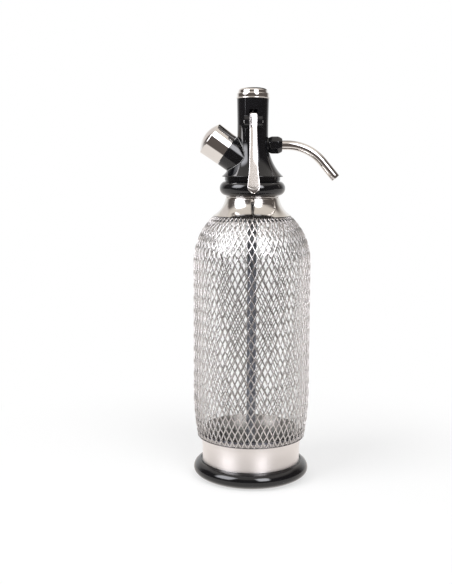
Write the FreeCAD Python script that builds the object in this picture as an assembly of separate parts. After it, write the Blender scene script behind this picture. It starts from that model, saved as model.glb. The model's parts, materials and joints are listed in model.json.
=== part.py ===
import FreeCAD
import Part
import math
import os

# A soda siphon: a thick glass bottle in a wire mesh sleeve on a moulded base, and a screw-on head
# with a charger holder, a sprung valve, a lever and a spout. Millimetres. The origin is on the
# bottle's axis at the floor, +Z up, +X towards the spout and -Y towards the lever.

# ---- driving dimensions ---------------------------------------------------------------------

# fits and small edges
RUN = 0.05                  # radial clearance of a running fit, also of a screw thread
SEAT = 0.02                 # gap between flat faces that turn on each other
ROOM = 0.4                  # free room round a piece that only has to pass
EDGE = 0.3                  # chamfer on small edges
PAST = 1.0                  # how far a cut runs past the face that it opens

# mesh sleeve
MESH_R = 50.2               # outside radius on the straight body
MESH_T = 1.2                # thickness of the sleeve, two crossed lays of strands
STRAND_W = 0.95             # width of a flat strand
STRAND_PITCH = 5.53         # from strand to strand of one lay, round the straight body
STRAND_ROW = 5.48           # from crossing to crossing up a strand
STRAND_STEP = 8.0           # between the points that a strand's edges pass through
LAY_GAP = 0.04              # between the two lays
HEM_H = 0.8                 # plain hoop at each end of the sleeve
MESH_GAP = 0.2              # between the band's flare and the mesh's lower edge
MESH_SHORT = 10.5           # from the mesh's upper edge up to the start of the neck
TUCK_H = 38.8               # height of the lower taper
TUCK_ARC = 211.0            # radius of the lower taper's outline
SHOULDER_ARC = 52.6         # radius of the shoulder's outline

# glass bottle
MOUTH_Z = 247.0             # rim of the mouth
GLASS_T = 4.0               # wall
GLASS_BOTTOM_T = 6.0        # thickness of the bottom
GLASS_FOOT_FILLET = 4.0     # round between the bottom and the foot's wall
GLASS_SLACK = 0.35          # extra room inside the mesh halfway up the lower taper
NECK_R = 15.6               # outside radius of the neck
NECK_H = 8.6                # neck, from its fillet to the rim
NECK_FILLET = 4.0           # outside round between the shoulder and the neck
BEAD_STEP = 1.3             # how far the lip at the mouth stands out
BEAD_H = 3.4                # height of the lip
BEAD_CHAMFER = 1.0

# base
BASE_H = 14.0               # height of the moulded ring, which is round outside
BASE_LEDGE = 0.65           # from the band to the centre of its upper round
BASE_TUCK = 3.5             # how far the foot stands inside that centre
BASE_BEAD_W = 1.0           # fine bead of the ring's top next to the band
BASE_BEAD_ROUND = 0.5
BASE_GROOVE_W = 0.6         # groove between that bead and that round
BASE_GROOVE_D = 0.8
PAD_R = 36.0                # rubber foot pad
PAD_T = 1.5
FLOOR_T = 2.5               # floor of the base ring, above the pad
CUSHION_T = 6.0             # rubber cushion under the glass
CUSHION_CHAMFER = 1.0
BAND_INSET = 7.9            # how far the metal band stands inside the mesh's straight body
BAND_T = 0.6
BAND_H = 10.0               # straight part of the band above the base ring
FLARE_H = 12.0              # height of the band's flare
FLARE_GAP = 0.7             # between the flare's top and the mesh's inside
BAND_LAP = 4.8              # how far the band goes on inside the mesh

# neck ring, shoulder collar and head thread
COLLAR_T = 0.8
COLLAR_LAP = 0.7            # how far the collar covers the mesh
COLLAR_GAP = 0.5            # between the collar's top and the head's bright lip
COLLAR_STEP = 0.1           # by which the collar's top is smaller than that lip
COLLAR_HOLLOW = 2.0         # how far the collar's outline curves in
COLLAR_WEB_DROP = 1.4       # from the start of the neck down to the web under the neck ring
COLLAR_SLIT = 0.8           # width of the seam at the front
RING_T = 2.1                # wall of the neck ring round the glass lip
RING_SPLIT = 0.6            # gap between the neck ring's halves
INSERT_T = 2.25             # wall of the threaded insert in the head
INSERT_GAP = 0.3            # between the insert's foot and the web
LIP_STEP = 1.6              # how far the insert's bright lip stands out
LIP_T = 0.8
LIP_GAP = 0.4               # dark line between the lip and the head
GASKET_T = 2.5
GASKET_INSET = 0.2          # by which the gasket is smaller than the glass lip

# head
HEAD_DROP = 3.0             # how far the head reaches below the rim of the mouth
HEAD_WALL = 0.5             # least wall round the insert, at the head's foot
RIM_WALL = 6.5              # from the insert to the largest radius of the rounded hand ring
RIM_H = 12.0                # height of the hand ring
RIM_FALL = 3.7              # from that largest radius in to the ring's top
WAIST_STEP = 0.6            # depth of the groove above the hand ring
WAIST_H = 3.8               # its height
WAIST_CUT_H = 0.6           # fine deeper cut at its foot
WAIST_CUT_D = 0.7
FLANGE_STEP = 2.3           # how far the thin disc under the bell stands out of the groove
FLANGE_T = 1.0
BELL_STEP = 0.6             # from the disc's edge in to the foot of the bell
BELL_H = 31.2
BELL_HOLLOW = 3.54          # how far the bell's outline curves in
TOWER_R = 13.0              # top of the bell and lower part of the tower
TOWER_SPREAD = 0.4          # by which the tower is wider at its top
TOWER_H = 32.6              # from the bell's top to the tower's

# riser and measuring tube
RISER_R = 4.0
RISER_T = 1.5               # wall
RISER_LIFT = 5.0            # from the bottle's inner floor to the riser
SPIGOT_T = 1.05             # wall of the head's spigot, which the riser plugs into
SPIGOT_L = 6.0
SEAL_T = 1.5                # riser seal
SEAL_STEP = 0.1             # by which that seal is smaller than the spigot
MEASURE_T = 0.9             # wall of the measuring tube round the riser
MEASURE_L = 68.0
MEASURE_DROP = 0.5          # from the head's floor to the measuring tube
MEASURE_WEB_T = 1.5         # web at its foot

# valve, from the lever's pin downwards and the cap downwards
SEAT_R = 2.5                # hole in the seat
SEAT_T = 0.4                # seat over the cross passage
CHAMBER_R = 5.0             # chamber above the seat
CHAMBER_H = 7.4
GLAND_R = 6.5
GLAND_H = 7.6
GLAND_DROP = 6.0            # from the lever's pin down to the gland bush's flange
WASHER_T = 0.8
BUSH_FLANGE_T = 1.4
TOWER_WALL = 5.0
STEM_R = 1.6
STEM_ROOM = 0.3             # round the stem in the washer
STEM_END = 3.0              # guide of the stem inside the spring
FOOT_R = 3.9                # valve foot and its seal
FOOT_T = 1.5
SPOOL_R = 3.6               # flanges of the stem on each side of the lever's fork
SPOOL_T = 1.3
SPRING_R = 2.9              # middle of the wire
SPRING_WIRE_R = 0.45
SPRING_ROOM = 0.3           # round the spring in the cap plug
SPRING_TURNS = 6
O_RING_R = 0.78             # cord of the gland's O-ring
O_RING_PLAY = 0.1

# lever
PIVOT_OUT = 2.5             # from the tower's face out to the pin
PIVOT_DROP = 19.6           # from the tower's top down to the pin
PIVOT_PIN_R = 1.5
SLOT_W = 6.7                # slot in the tower's front
SLOT_RISE = 10.2            # from the pin up to the slot's top
EAR_GAP = 7.2               # between the two ears
EAR_GAP_DEPTH = 0.6         # how far that gap runs into the tower
EAR_T = 3.9
EAR_R = 5.0
ARM_W = 6.2                 # width of the inner arm and the hub
ARM_T = 1.5
HUB_T = 1.6                 # wall of the hub round the pin
FORK_TIP_R = 1.45
FORK_ROOM = 0.15            # between the fork and the stem
FORK_DEPTH = 1.4            # how far the fork's slot runs past the stem
LEVER_T = 2.2               # thickness of the handle's plate
LEVER_TIP_T = 1.76
LEVER_RISE = 6.6            # from the pin up to the handle's top
LEVER_OUT = 3.2             # from the pin out to the handle's back face at its top
LEVER_BEND_DROP = 4.4       # from the pin down to the bend
LEVER_BEND_OUT = 4.3
LEVER_BEND_STEP = 0.8       # bend of the front face above that of the back
LEVER_DROP = 58.2           # from the pin down to the tip
LEVER_TIP_OUT = 28.5
LEVER_W = 6.2               # width of the upper half
LEVER_TOP_W = 5.9
LEVER_CORNER = 1.0
LEVER_FLARE_DROP = 23.0     # from the pin down to where the handle begins to widen
LEVER_BLADE_W = 10.2        # widest part
LEVER_BLADE_RISE = 5.8      # from the tip up to the widest part
LEVER_NOSE_DROP = 1.0       # roundness of the tip
LEVER_WAIST = 0.38          # share of the widening that is reached halfway down
LEVER_NOSE = 0.62           # share of the width that is left halfway down the tip

# spout
SPOUT_RISE = 2.3            # from the valve seat up to the spout
SPOUT_R = 3.9
SPOUT_T = 1.7               # wall
SPOUT_RUN = 4.5             # straight from the nut to the bend
SPOUT_BEND_R = 38.8
SPOUT_BEND = 50.0           # degrees downwards
SPOUT_END = 17.6            # straight length after the bend
STUB_R = 5.4                # threaded stub of the head
STUB_L = 4.8
SPOUT_SEAL_T = 1.2
SPOUT_LIP_STEP = 0.2        # by which the tube's flange is smaller than the stub
SPOUT_LIP_T = 1.6
NUT_FLATS = 14.2            # across flats, eight sides
NUT_L = 8.2                 # up to the nose
NUT_GAP = 0.2               # between the tower and the nut
NUT_CHAMFER = 0.5
NOSE_L = 3.3
NOSE_WALL = 1.75            # of the nose round the tube
BOSS_STEP = 0.7             # by which the boss behind the nut is smaller than the nut

# charger and its holder, measured along an axis that slants up towards -X
SLANT = 35.2                # degrees above the horizontal
CROSS_RISE = 22.6           # from the head's foot to where that axis crosses the bottle's axis
CHARGER_R = 9.3             # standard 8 g charger
CHARGER_L = 65.3
CHARGER_WALL = 1.6
CHARGER_NECK_R = 4.35
CHARGER_NECK_L = 9.3
CHARGER_SHOULDER_L = 9.0
CHARGER_SHOULDER_BOW = 0.5
CHARGER_CHAMFER = 0.5
CHARGER_DEPTH = 0.8         # from the full bore's start to the charger's full radius
CHARGER_ROOM = 0.3          # round the charger
CHARGER_NECK_ROOM = 0.35    # round its neck
CHARGER_PLAY = 0.3          # between the charger and the top of the holder
PIERCE_L = 3.2              # how far the pin reaches into the charger
PIN_R = 0.95
PIN_BORE_R = 0.35
PIN_POINT_R = 0.2
PIN_POINT_L = 1.4
PIN_PLAY = 0.1
PIN_PLUG_R = 2.4
PIN_PLUG_L = 3.6
HOLDER_SEAL_T = 0.8
HOLDER_SEAL_ROOM = 0.3
BOSS_WALL = 3.1             # wall of the charger boss round the holder's thread
BOSS_FACE = 26.1            # end of the charger boss
THREAD_L = 8.6              # depth of the boss's thread
THREAD_PLAY = 0.5
SLEEVE_T = 1.2
SLEEVE_DROP = 2.8           # from the dome's edge down to the sleeve's top
HOLDER_T = 3.2              # wall of the holder at the boss
HOLDER_SPREAD = 0.5         # by which the holder is wider at the edge of its dome
HOLDER_DOME_H = 4.6
HOLDER_EDGE = 1.2           # round there
HOLDER_CROWN_T = 1.1        # wall at the top of the dome
HOLDER_GAP = 0.2            # fine joint line between the boss and the holder

# top cap
PLUG_WALL = 2.4             # of the tower round the threaded plug under the cap
PLUG_L = 7.6
PLUG_ROOF_T = 2.6           # of the plug over the spring
CAP_OUT = 0.6               # how far the cap's lip stands out of the tower
CAP_LIP_T = 4.4
CAP_LIP_ROUND = 0.7
CAP_STEP = 1.5              # from the lip in to the upper tier
CAP_TIER_H = 2.6            # straight side of the upper tier
CAP_TIER_ROUND = 1.4
CAP_CROWN_H = 0.9           # rise of the crown over that
CAP_T = 1.0

# small passages
GAS_R = 0.9
LIQUID_R = 1.0
LIQUID_WALL = 1.0           # between the charger's bore and the rising passage behind it

# ---- values that follow ---------------------------------------------------------------------

X = FreeCAD.Vector(1, 0, 0)
Y = FreeCAD.Vector(0, 1, 0)
Z = FreeCAD.Vector(0, 0, 1)

# upwards from the floor
FLOOR_Z = PAD_T + FLOOR_T
GLASS_Z = FLOOR_Z + CUSHION_T
FLARE_Z = BASE_H + BAND_H
FLARE_TOP = FLARE_Z + FLARE_H
MESH_BOTTOM = FLARE_TOP + MESH_GAP
BAND_TOP = MESH_BOTTOM + BAND_LAP
TUCK_TOP = MESH_BOTTOM + TUCK_H
TUCK_TURN = math.asin(TUCK_H / TUCK_ARC)

# downwards from the rim of the mouth
GLASS_OFF = MESH_T + ROOM
NECK_Z = MOUTH_Z - NECK_H
SHOULDER_R = MESH_R - SHOULDER_ARC
SHOULDER_RISE = math.sqrt((SHOULDER_ARC - GLASS_OFF + NECK_FILLET) ** 2
                          - (NECK_R + NECK_FILLET - SHOULDER_R) ** 2)
SHOULDER_Z = NECK_Z - SHOULDER_RISE
MESH_TOP = NECK_Z - MESH_SHORT
COLLAR_EDGE_Z = MESH_TOP - COLLAR_LAP
COLLAR_WEB_Z = NECK_Z - COLLAR_WEB_DROP
RING_BOTTOM = COLLAR_WEB_Z + COLLAR_T + ROOM
RING_TOP = MOUTH_Z - ROOM
BEAD_Z = MOUTH_Z - BEAD_H

# sleeve, along its outer outline from the lower edge
STRAIGHT_RUN = SHOULDER_Z - TUCK_TOP
SHOULDER_TURN = math.asin((MESH_TOP - SHOULDER_Z) / SHOULDER_ARC)
SLEEVE_RUN = TUCK_ARC * TUCK_TURN + STRAIGHT_RUN + SHOULDER_ARC * SHOULDER_TURN
STRANDS = round(2 * math.pi * MESH_R / STRAND_PITCH)
CROSSINGS = round(SLEEVE_RUN / STRAND_ROW)
TWIST = math.pi / STRANDS * CROSSINGS / SLEEVE_RUN
STRAND_T = (MESH_T - LAY_GAP) / 2

# radii of the neck and the head's foot
BEAD_R = NECK_R + BEAD_STEP
RING_R = BEAD_R + RING_T
INSERT_R = RING_R + RUN + INSERT_T
LIP_R = INSERT_R + LIP_STEP
COLLAR_TOP_R = LIP_R - COLLAR_STEP
BAND_R = MESH_R - BAND_INSET
GLASS_FOOT_R = BAND_R - BAND_T - ROOM

# head, upwards
HEAD_BOTTOM = MOUTH_Z - HEAD_DROP
LIP_TOP = HEAD_BOTTOM - LIP_GAP
COLLAR_TOP_Z = LIP_TOP - LIP_T - COLLAR_GAP
HEAD_FLOOR = MOUTH_Z + GASKET_T
RIM_TOP = HEAD_BOTTOM + RIM_H
FLANGE_Z = RIM_TOP + WAIST_H
BELL_Z = FLANGE_Z + FLANGE_T
TOWER_Z = BELL_Z + BELL_H
TOWER_TOP = TOWER_Z + TOWER_H
CROSS_Z = HEAD_BOTTOM + CROSS_RISE
LIQUID_Z = HEAD_FLOOR + 1.5 * LIQUID_R
PIVOT_Z = TOWER_TOP - PIVOT_DROP
GLAND_TOP = PIVOT_Z - GLAND_DROP
GLAND_Z = GLAND_TOP - GLAND_H
SEAT_Z = GLAND_Z - CHAMBER_H
SPOUT_Z = SEAT_Z + SPOUT_RISE
SPRING_TOP = TOWER_TOP - PLUG_ROOF_T
PLUG_BOTTOM = TOWER_TOP - PLUG_L

# head, radii
RIM_R = INSERT_R + RIM_WALL
RIM_TOP_R = RIM_R - RIM_FALL
WAIST_R = RIM_TOP_R - WAIST_STEP
FLANGE_R = WAIST_R + FLANGE_STEP
BELL_R = FLANGE_R - BELL_STEP
TOWER_TOP_R = TOWER_R + TOWER_SPREAD
TOWER_BORE_R = TOWER_R - TOWER_WALL
PLUG_R = TOWER_TOP_R - PLUG_WALL
SPIGOT_R = RISER_R + RUN + SPIGOT_T

# valve and lever
PIVOT_Y = -TOWER_R - PIVOT_OUT
GROOVE_H = 2 * (FORK_TIP_R + RUN)
SPOOL_LOW = PIVOT_Z - GROOVE_H / 2 - SPOOL_T
SPOOL_HIGH = PIVOT_Z + GROOVE_H / 2 + SPOOL_T
EARS_X = EAR_GAP / 2 + EAR_T

# charger and holder
CHARGER_TIP = CHARGER_DEPTH - CHARGER_NECK_L - CHARGER_SHOULDER_L
CHARGER_BORE_R = CHARGER_R + CHARGER_ROOM
NECK_BORE_R = CHARGER_NECK_R + CHARGER_NECK_ROOM
PIN_SEAT = CHARGER_TIP - HOLDER_SEAL_T - PIN_PLAY
SLEEVE_R = CHARGER_BORE_R + SLEEVE_T
BOSS_BORE_R = SLEEVE_R + RUN
CHARGER_BOSS_R = BOSS_BORE_R + BOSS_WALL
THREAD_START = BOSS_FACE - THREAD_L
HOLDER_R = SLEEVE_R + HOLDER_T
HOLDER_EDGE_R = HOLDER_R + HOLDER_SPREAD
HOLDER_TOP = CHARGER_TIP + CHARGER_L + CHARGER_PLAY + HOLDER_CROWN_T
DOME_S = HOLDER_TOP - HOLDER_DOME_H
SLEEVE_TOP = DOME_S - SLEEVE_DROP
LIQUID_Y = CHARGER_BORE_R + LIQUID_WALL + LIQUID_R

# spout
NUT_X = TOWER_R + NUT_GAP
NUT_CORNER_R = NUT_FLATS / 2 / math.cos(math.pi / 8)
NUT_SHOULDER_X = NUT_X + NUT_L
NUT_NOSE_X = NUT_SHOULDER_X + NOSE_L
STUB_X = NUT_X + STUB_L
SPOUT_LIP_X = STUB_X + SPOUT_SEAL_T
SPOUT_LIP_R = STUB_R - SPOUT_LIP_STEP
SPOUT_BORE_R = SPOUT_R - SPOUT_T
BEND_X = NUT_NOSE_X + SPOUT_RUN


# ---- helpers --------------------------------------------------------------------------------

def at(x, y, z):
    return FreeCAD.Vector(x, y, z)


def outline(*steps):
    """Flat face in the XZ plane. A step (x, z) is a corner, and a step (mx, mz, x, z) is an arc
    through its first pair to its second. The last step joins the first."""
    edges = []
    here = steps[0]
    for step in steps[1:] + (steps[0],):
        start = at(here[0], 0, here[1])
        end = at(step[-2], 0, step[-1])
        if len(step) == 4:
            edges.append(Part.Arc(start, at(step[0], 0, step[1]), end).toShape())
        elif start.distanceToPoint(end) > 1e-6:
            edges.append(Part.LineSegment(start, end).toShape())
        here = step[-2:]
    return Part.Face(Part.Wire(edges))


def bowed(start, end, sag):
    """Step for an arc from one (r, z) point to another. It leaves their chord by sag, to the left
    of the way from start to end."""
    run_r = end[0] - start[0]
    run_z = end[1] - start[1]
    chord = math.hypot(run_r, run_z)
    mid_r = (start[0] + end[0]) / 2 - sag * run_z / chord
    mid_z = (start[1] + end[1]) / 2 + sag * run_r / chord
    return (mid_r, mid_z, *end)


def rounded(centre_r, centre_z, radius):
    """Steps for a quarter round that turns an upright outer side inwards onto a flat top."""
    half = radius * math.sqrt(0.5)
    return [(centre_r + radius, centre_z),
            (centre_r + half, centre_z + half, centre_r, centre_z + radius)]


def oval(foot, side):
    """Steps for a quarter of an oval from one (r, z) point, which it leaves level, out to another,
    which it reaches upright. It is two arcs that meet halfway round."""
    run = side[0] - foot[0]
    rise = side[1] - foot[1]
    far = math.sqrt(0.5)
    near = 1 - far
    flat = (run * far - rise * near) / (far ** 2 - near ** 2)
    steep = (rise * far - run * near) / (far ** 2 - near ** 2)
    part = math.pi / 8
    return [
        (foot[0] + flat * math.sin(part), foot[1] + flat * (1 - math.cos(part)),
         foot[0] + flat * far, foot[1] + flat * near),
        (side[0] - steep * (1 - math.cos(part)), side[1] - steep * math.sin(part), *side),
    ]


def dome(edge_r, edge_z, top_z):
    """Step for the arc of a spherical cap, from its edge to its top on the axis."""
    rise = top_z - edge_z
    ball_r = (edge_r ** 2 + rise ** 2) / (2 * rise)
    half = math.atan2(rise, edge_r)
    return (ball_r * math.sin(half), top_z - ball_r * (1 - math.cos(half)), 0, top_z)


def outward(solid):
    if solid.Volume < 0:
        solid.reverse()
    return solid


def turned(*steps):
    """Solid of revolution about Z of an outline of (r, z) steps."""
    return outward(outline(*steps).revolve(at(0, 0, 0), Z, 360))


def rod(r, low, high):
    return Part.makeCylinder(r, high - low, at(0, 0, low))


def pipe(r, bore, low, high):
    return rod(r, low, high).cut(rod(bore, low, high))


def block(x0, x1, y0, y1, z0, z1):
    return Part.makeBox(x1 - x0, y1 - y0, z1 - z0, at(x0, y0, z0))


def drilled(r, start, end):
    return Part.makeCylinder(r, (end - start).Length, start, end - start)


def crosswise(r, half, y, z):
    """Cylinder along X, centred on the plane of symmetry."""
    return Part.makeCylinder(r, 2 * half, at(-half, y, z), X)


def along_spout(shape):
    """From a local Z axis to the spout's first run, +X at the spout's height."""
    shape = shape.copy()
    shape.rotate(at(0, 0, 0), Y, 90)
    shape.translate(at(0, 0, SPOUT_Z))
    return shape


def along_charger(shape):
    """From a local Z axis to the charger's axis, which slants up towards -X."""
    shape = shape.copy()
    shape.rotate(at(0, 0, 0), Y, SLANT - 90)
    shape.translate(at(0, 0, CROSS_Z))
    return shape


def charger_point(s):
    slant = math.radians(SLANT)
    return at(-s * math.cos(slant), 0, CROSS_Z + s * math.sin(slant))


def tuck_r(inside, z):
    """Radius at height z of the lower taper, a given distance inside the mesh's outer face."""
    return MESH_R - TUCK_ARC + math.sqrt((TUCK_ARC - inside) ** 2 - (TUCK_TOP - z) ** 2)


def shoulder_r(inside, z):
    """The same on the shoulder."""
    return SHOULDER_R + math.sqrt((SHOULDER_ARC - inside) ** 2 - (z - SHOULDER_Z) ** 2)


def mid_shoulder():
    """A height between the two ends of the shoulder's arc."""
    return SHOULDER_Z + 0.6 * (MESH_TOP - SHOULDER_Z)


def flare_r(inside, z):
    """Radius at height z of the band's flare, a given distance inside its outer face. The flare
    is an arc that leaves the band's straight part smoothly and ends just inside the mesh."""
    step = tuck_r(MESH_T, FLARE_TOP) - FLARE_GAP - BAND_R
    arc = (FLARE_H ** 2 + step ** 2) / (2 * step)
    return BAND_R + arc - math.sqrt((arc + inside) ** 2 - (z - FLARE_Z) ** 2)


# ---- bottle ---------------------------------------------------------------------------------

def glass_wall(inside, bottom, foot_fillet):
    """Steps up one face of the bottle's wall, from the bottom's edge to the neck."""
    mid_tuck = (FLARE_TOP + TUCK_TOP) / 2
    half_flare = (FLARE_Z + FLARE_TOP) / 2
    low = GLASS_FOOT_R - inside
    corner = foot_fillet * (1 - math.sqrt(0.5))
    deep = BAND_T + ROOM + inside
    arc = SHOULDER_ARC - GLASS_OFF - inside
    neck_arc = NECK_FILLET + inside
    fillet_r = NECK_R + NECK_FILLET
    turn = math.atan2(SHOULDER_RISE, fillet_r - SHOULDER_R)
    join_r = SHOULDER_R + arc * math.cos(turn)
    join_z = SHOULDER_Z + arc * math.sin(turn)
    return [
        (low - foot_fillet, bottom),
        (low - corner, bottom + corner, low, bottom + foot_fillet),
        (low, FLARE_Z),
        (flare_r(deep, half_flare), half_flare, flare_r(deep, FLARE_TOP), FLARE_TOP),
        (tuck_r(GLASS_OFF + inside, mid_tuck) - GLASS_SLACK, mid_tuck,
         MESH_R - GLASS_OFF - inside, TUCK_TOP),
        (MESH_R - GLASS_OFF - inside, SHOULDER_Z),
        (SHOULDER_R + arc * math.cos(turn / 2), SHOULDER_Z + arc * math.sin(turn / 2),
         join_r, join_z),
        (fillet_r - neck_arc * math.cos(turn / 2), NECK_Z - neck_arc * math.sin(turn / 2),
         fillet_r - neck_arc, NECK_Z),
    ]


def glass_bottle():
    outside = glass_wall(0, GLASS_Z, GLASS_FOOT_FILLET)
    inside = glass_wall(GLASS_T, GLASS_Z + GLASS_BOTTOM_T, GLASS_FOOT_FILLET / 2)
    body = turned(
        (0, GLASS_Z), *outside, (NECK_R, BEAD_Z - BEAD_STEP), (BEAD_R, BEAD_Z),
        (BEAD_R, MOUTH_Z - BEAD_CHAMFER), (BEAD_R - BEAD_CHAMFER, MOUTH_Z), (0, MOUTH_Z),
    )
    hollow = turned((0, GLASS_Z + GLASS_BOTTOM_T), *inside, (NECK_R - GLASS_T, MOUTH_Z + PAST),
                    (0, MOUTH_Z + PAST))
    return body.cut(hollow)


def sleeve_point(inside, run):
    """Radius and height of a point on the sleeve: a run up its outer outline from the lower edge,
    and a given distance inside that outline."""
    turn = TUCK_TURN - run / TUCK_ARC
    if turn > 0:
        arc = TUCK_ARC - inside
        return MESH_R - TUCK_ARC + arc * math.cos(turn), TUCK_TOP - arc * math.sin(turn)
    run -= TUCK_ARC * TUCK_TURN
    turn = (run - STRAIGHT_RUN) / SHOULDER_ARC
    if turn > 0:
        arc = SHOULDER_ARC - inside
        return SHOULDER_R + arc * math.cos(turn), SHOULDER_Z + arc * math.sin(turn)
    return MESH_R - inside, TUCK_TOP + run


def strand_edge(lay, inside, side):
    """One long edge of a strand, on its left or right side."""
    length = SLEEVE_RUN - 2 * HEM_H
    steps = round(length / STRAND_STEP)
    points = []
    for k in range(steps + 1):
        run = HEM_H + length * k / steps
        r, z = sleeve_point(inside, run)
        half = STRAND_W / 2 * math.hypot(1, r * TWIST)
        turn = lay * TWIST * run + side * half / r
        points.append(at(r * math.cos(turn), r * math.sin(turn), z))
    curve = Part.BSplineCurve()
    curve.interpolate(points)
    return curve.toShape()


def strand(lay):
    """Flat strand that climbs the sleeve as it winds round it. Lay is 1 for the outer strands and
    -1 for the inner ones, which wind the other way."""
    face = 0 if lay > 0 else MESH_T - STRAND_T
    back = face + STRAND_T
    edges = [strand_edge(lay, face, -1), strand_edge(lay, face, 1),
             strand_edge(lay, back, 1), strand_edge(lay, back, -1)]
    same_way = 1
    faces = [Part.makeRuledSurface(a, b, same_way) for a, b in zip(edges, edges[1:] + edges[:1])]
    for end in (0, -1):
        corners = [edge.Vertexes[end].Point for edge in edges]
        faces.append(Part.Face(Part.makePolygon(corners + corners[:1])))
    shell = Part.Shell(faces)
    shell.sewShape()
    return outward(Part.Solid(shell))


def hem(low):
    """Plain hoop of the sleeve, from one run up its outline."""
    middle = low + HEM_H / 2
    high = low + HEM_H
    return turned(
        sleeve_point(0, low), (*sleeve_point(0, middle), *sleeve_point(0, high)),
        sleeve_point(MESH_T, high), (*sleeve_point(MESH_T, middle), *sleeve_point(MESH_T, low)),
    )


def mesh_sleeve():
    """Two lays of strands that wind opposite ways and make diamonds, between two hoops."""
    solids = [hem(0), hem(SLEEVE_RUN - HEM_H)]
    for lay in (1, -1):
        first = strand(lay)
        for k in range(STRANDS):
            solids.append(first.rotated(at(0, 0, 0), Z, 360 * k / STRANDS))
    return Part.makeCompound(solids)


def base_ring():
    round_r = BASE_H / 2
    bore = BAND_R + RUN
    middle = bore + BASE_LEDGE
    bead_r = bore + BASE_BEAD_W
    groove_r = bead_r + BASE_GROOVE_W
    groove_z = round_r + math.sqrt(round_r ** 2 - (groove_r - middle) ** 2)
    return turned(
        (0, PAD_T), (PAD_R + RUN, PAD_T), (PAD_R + RUN, 0), (middle - BASE_TUCK, 0),
        *oval((middle - BASE_TUCK, 0), (middle + round_r, round_r)),
        (middle + round_r * math.sqrt(0.5), round_r * (1 + math.sqrt(0.5)), groove_r, groove_z),
        (groove_r, BASE_H - BASE_GROOVE_D), (bead_r, BASE_H - BASE_GROOVE_D),
        *rounded(bead_r - BASE_BEAD_ROUND, BASE_H - BASE_BEAD_ROUND, BASE_BEAD_ROUND),
        (bore, BASE_H), (bore, FLOOR_Z), (0, FLOOR_Z),
    )


def foot_pad():
    return rod(PAD_R, 0, PAD_T)


def base_cushion():
    return turned(
        (0, FLOOR_Z), (GLASS_FOOT_R, FLOOR_Z), (GLASS_FOOT_R, GLASS_Z - CUSHION_CHAMFER),
        (GLASS_FOOT_R - CUSHION_CHAMFER, GLASS_Z), (0, GLASS_Z),
    )


def base_band():
    half_flare = (FLARE_Z + FLARE_TOP) / 2
    top_r = tuck_r(MESH_T, BAND_TOP) - RUN
    return turned(
        (BAND_R, FLOOR_Z), (BAND_R, FLARE_Z),
        (flare_r(0, half_flare), half_flare, flare_r(0, FLARE_TOP), FLARE_TOP),
        (top_r, BAND_TOP), (top_r - BAND_T, BAND_TOP),
        (flare_r(BAND_T, FLARE_TOP), FLARE_TOP),
        (flare_r(BAND_T, half_flare), half_flare, BAND_R - BAND_T, FLARE_Z),
        (BAND_R - BAND_T, FLOOR_Z),
    )


def shoulder_collar():
    """Trumpet collar with a web inside, which the neck ring holds down, and a seam in front."""
    edge = (shoulder_r(0, COLLAR_EDGE_Z) + RUN + COLLAR_T, COLLAR_EDGE_Z)
    top = (COLLAR_TOP_R, COLLAR_TOP_Z - COLLAR_T)
    inner_top = (COLLAR_TOP_R - COLLAR_T, COLLAR_TOP_Z - COLLAR_T)
    inner_edge = (edge[0] - COLLAR_T, COLLAR_EDGE_Z)
    shell = turned(
        edge, bowed(edge, top, COLLAR_HOLLOW), (COLLAR_TOP_R - COLLAR_T / 2, COLLAR_TOP_Z),
        inner_top, bowed(inner_top, inner_edge, -COLLAR_HOLLOW),
    )
    filled = turned((0, COLLAR_EDGE_Z), edge, bowed(edge, top, COLLAR_HOLLOW), (0, top[1]))
    web = pipe(edge[0], NECK_R + ROOM, COLLAR_WEB_Z, COLLAR_WEB_Z + COLLAR_T).common(filled)
    slit = block(-COLLAR_SLIT / 2, COLLAR_SLIT / 2, -MESH_R, -COLLAR_TOP_R + COLLAR_T + PAST,
                 COLLAR_EDGE_Z - PAST, COLLAR_WEB_Z)
    mid = mid_shoulder()
    under = turned(
        (0, SHOULDER_Z), (shoulder_r(-RUN, SHOULDER_Z), SHOULDER_Z),
        (shoulder_r(-RUN, mid), mid, shoulder_r(-RUN, MESH_TOP), MESH_TOP), (0, MESH_TOP),
    )
    return shell.fuse(web).cut(slit).cut(under).removeSplitter()


def neck_ring():
    """Two half rings that grip the glass under its lip and carry the head's thread."""
    ring = turned(
        (RING_R, RING_BOTTOM), (RING_R, RING_TOP), (BEAD_R + RUN, RING_TOP),
        (BEAD_R + RUN, BEAD_Z), (NECK_R + RUN, BEAD_Z - BEAD_STEP), (NECK_R + RUN, RING_BOTTOM),
    )
    gap = block(-RING_R - PAST, RING_R + PAST, -RING_SPLIT / 2, RING_SPLIT / 2,
                RING_BOTTOM - PAST, RING_TOP + PAST)
    return ring.cut(gap)


# ---- head -----------------------------------------------------------------------------------

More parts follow.
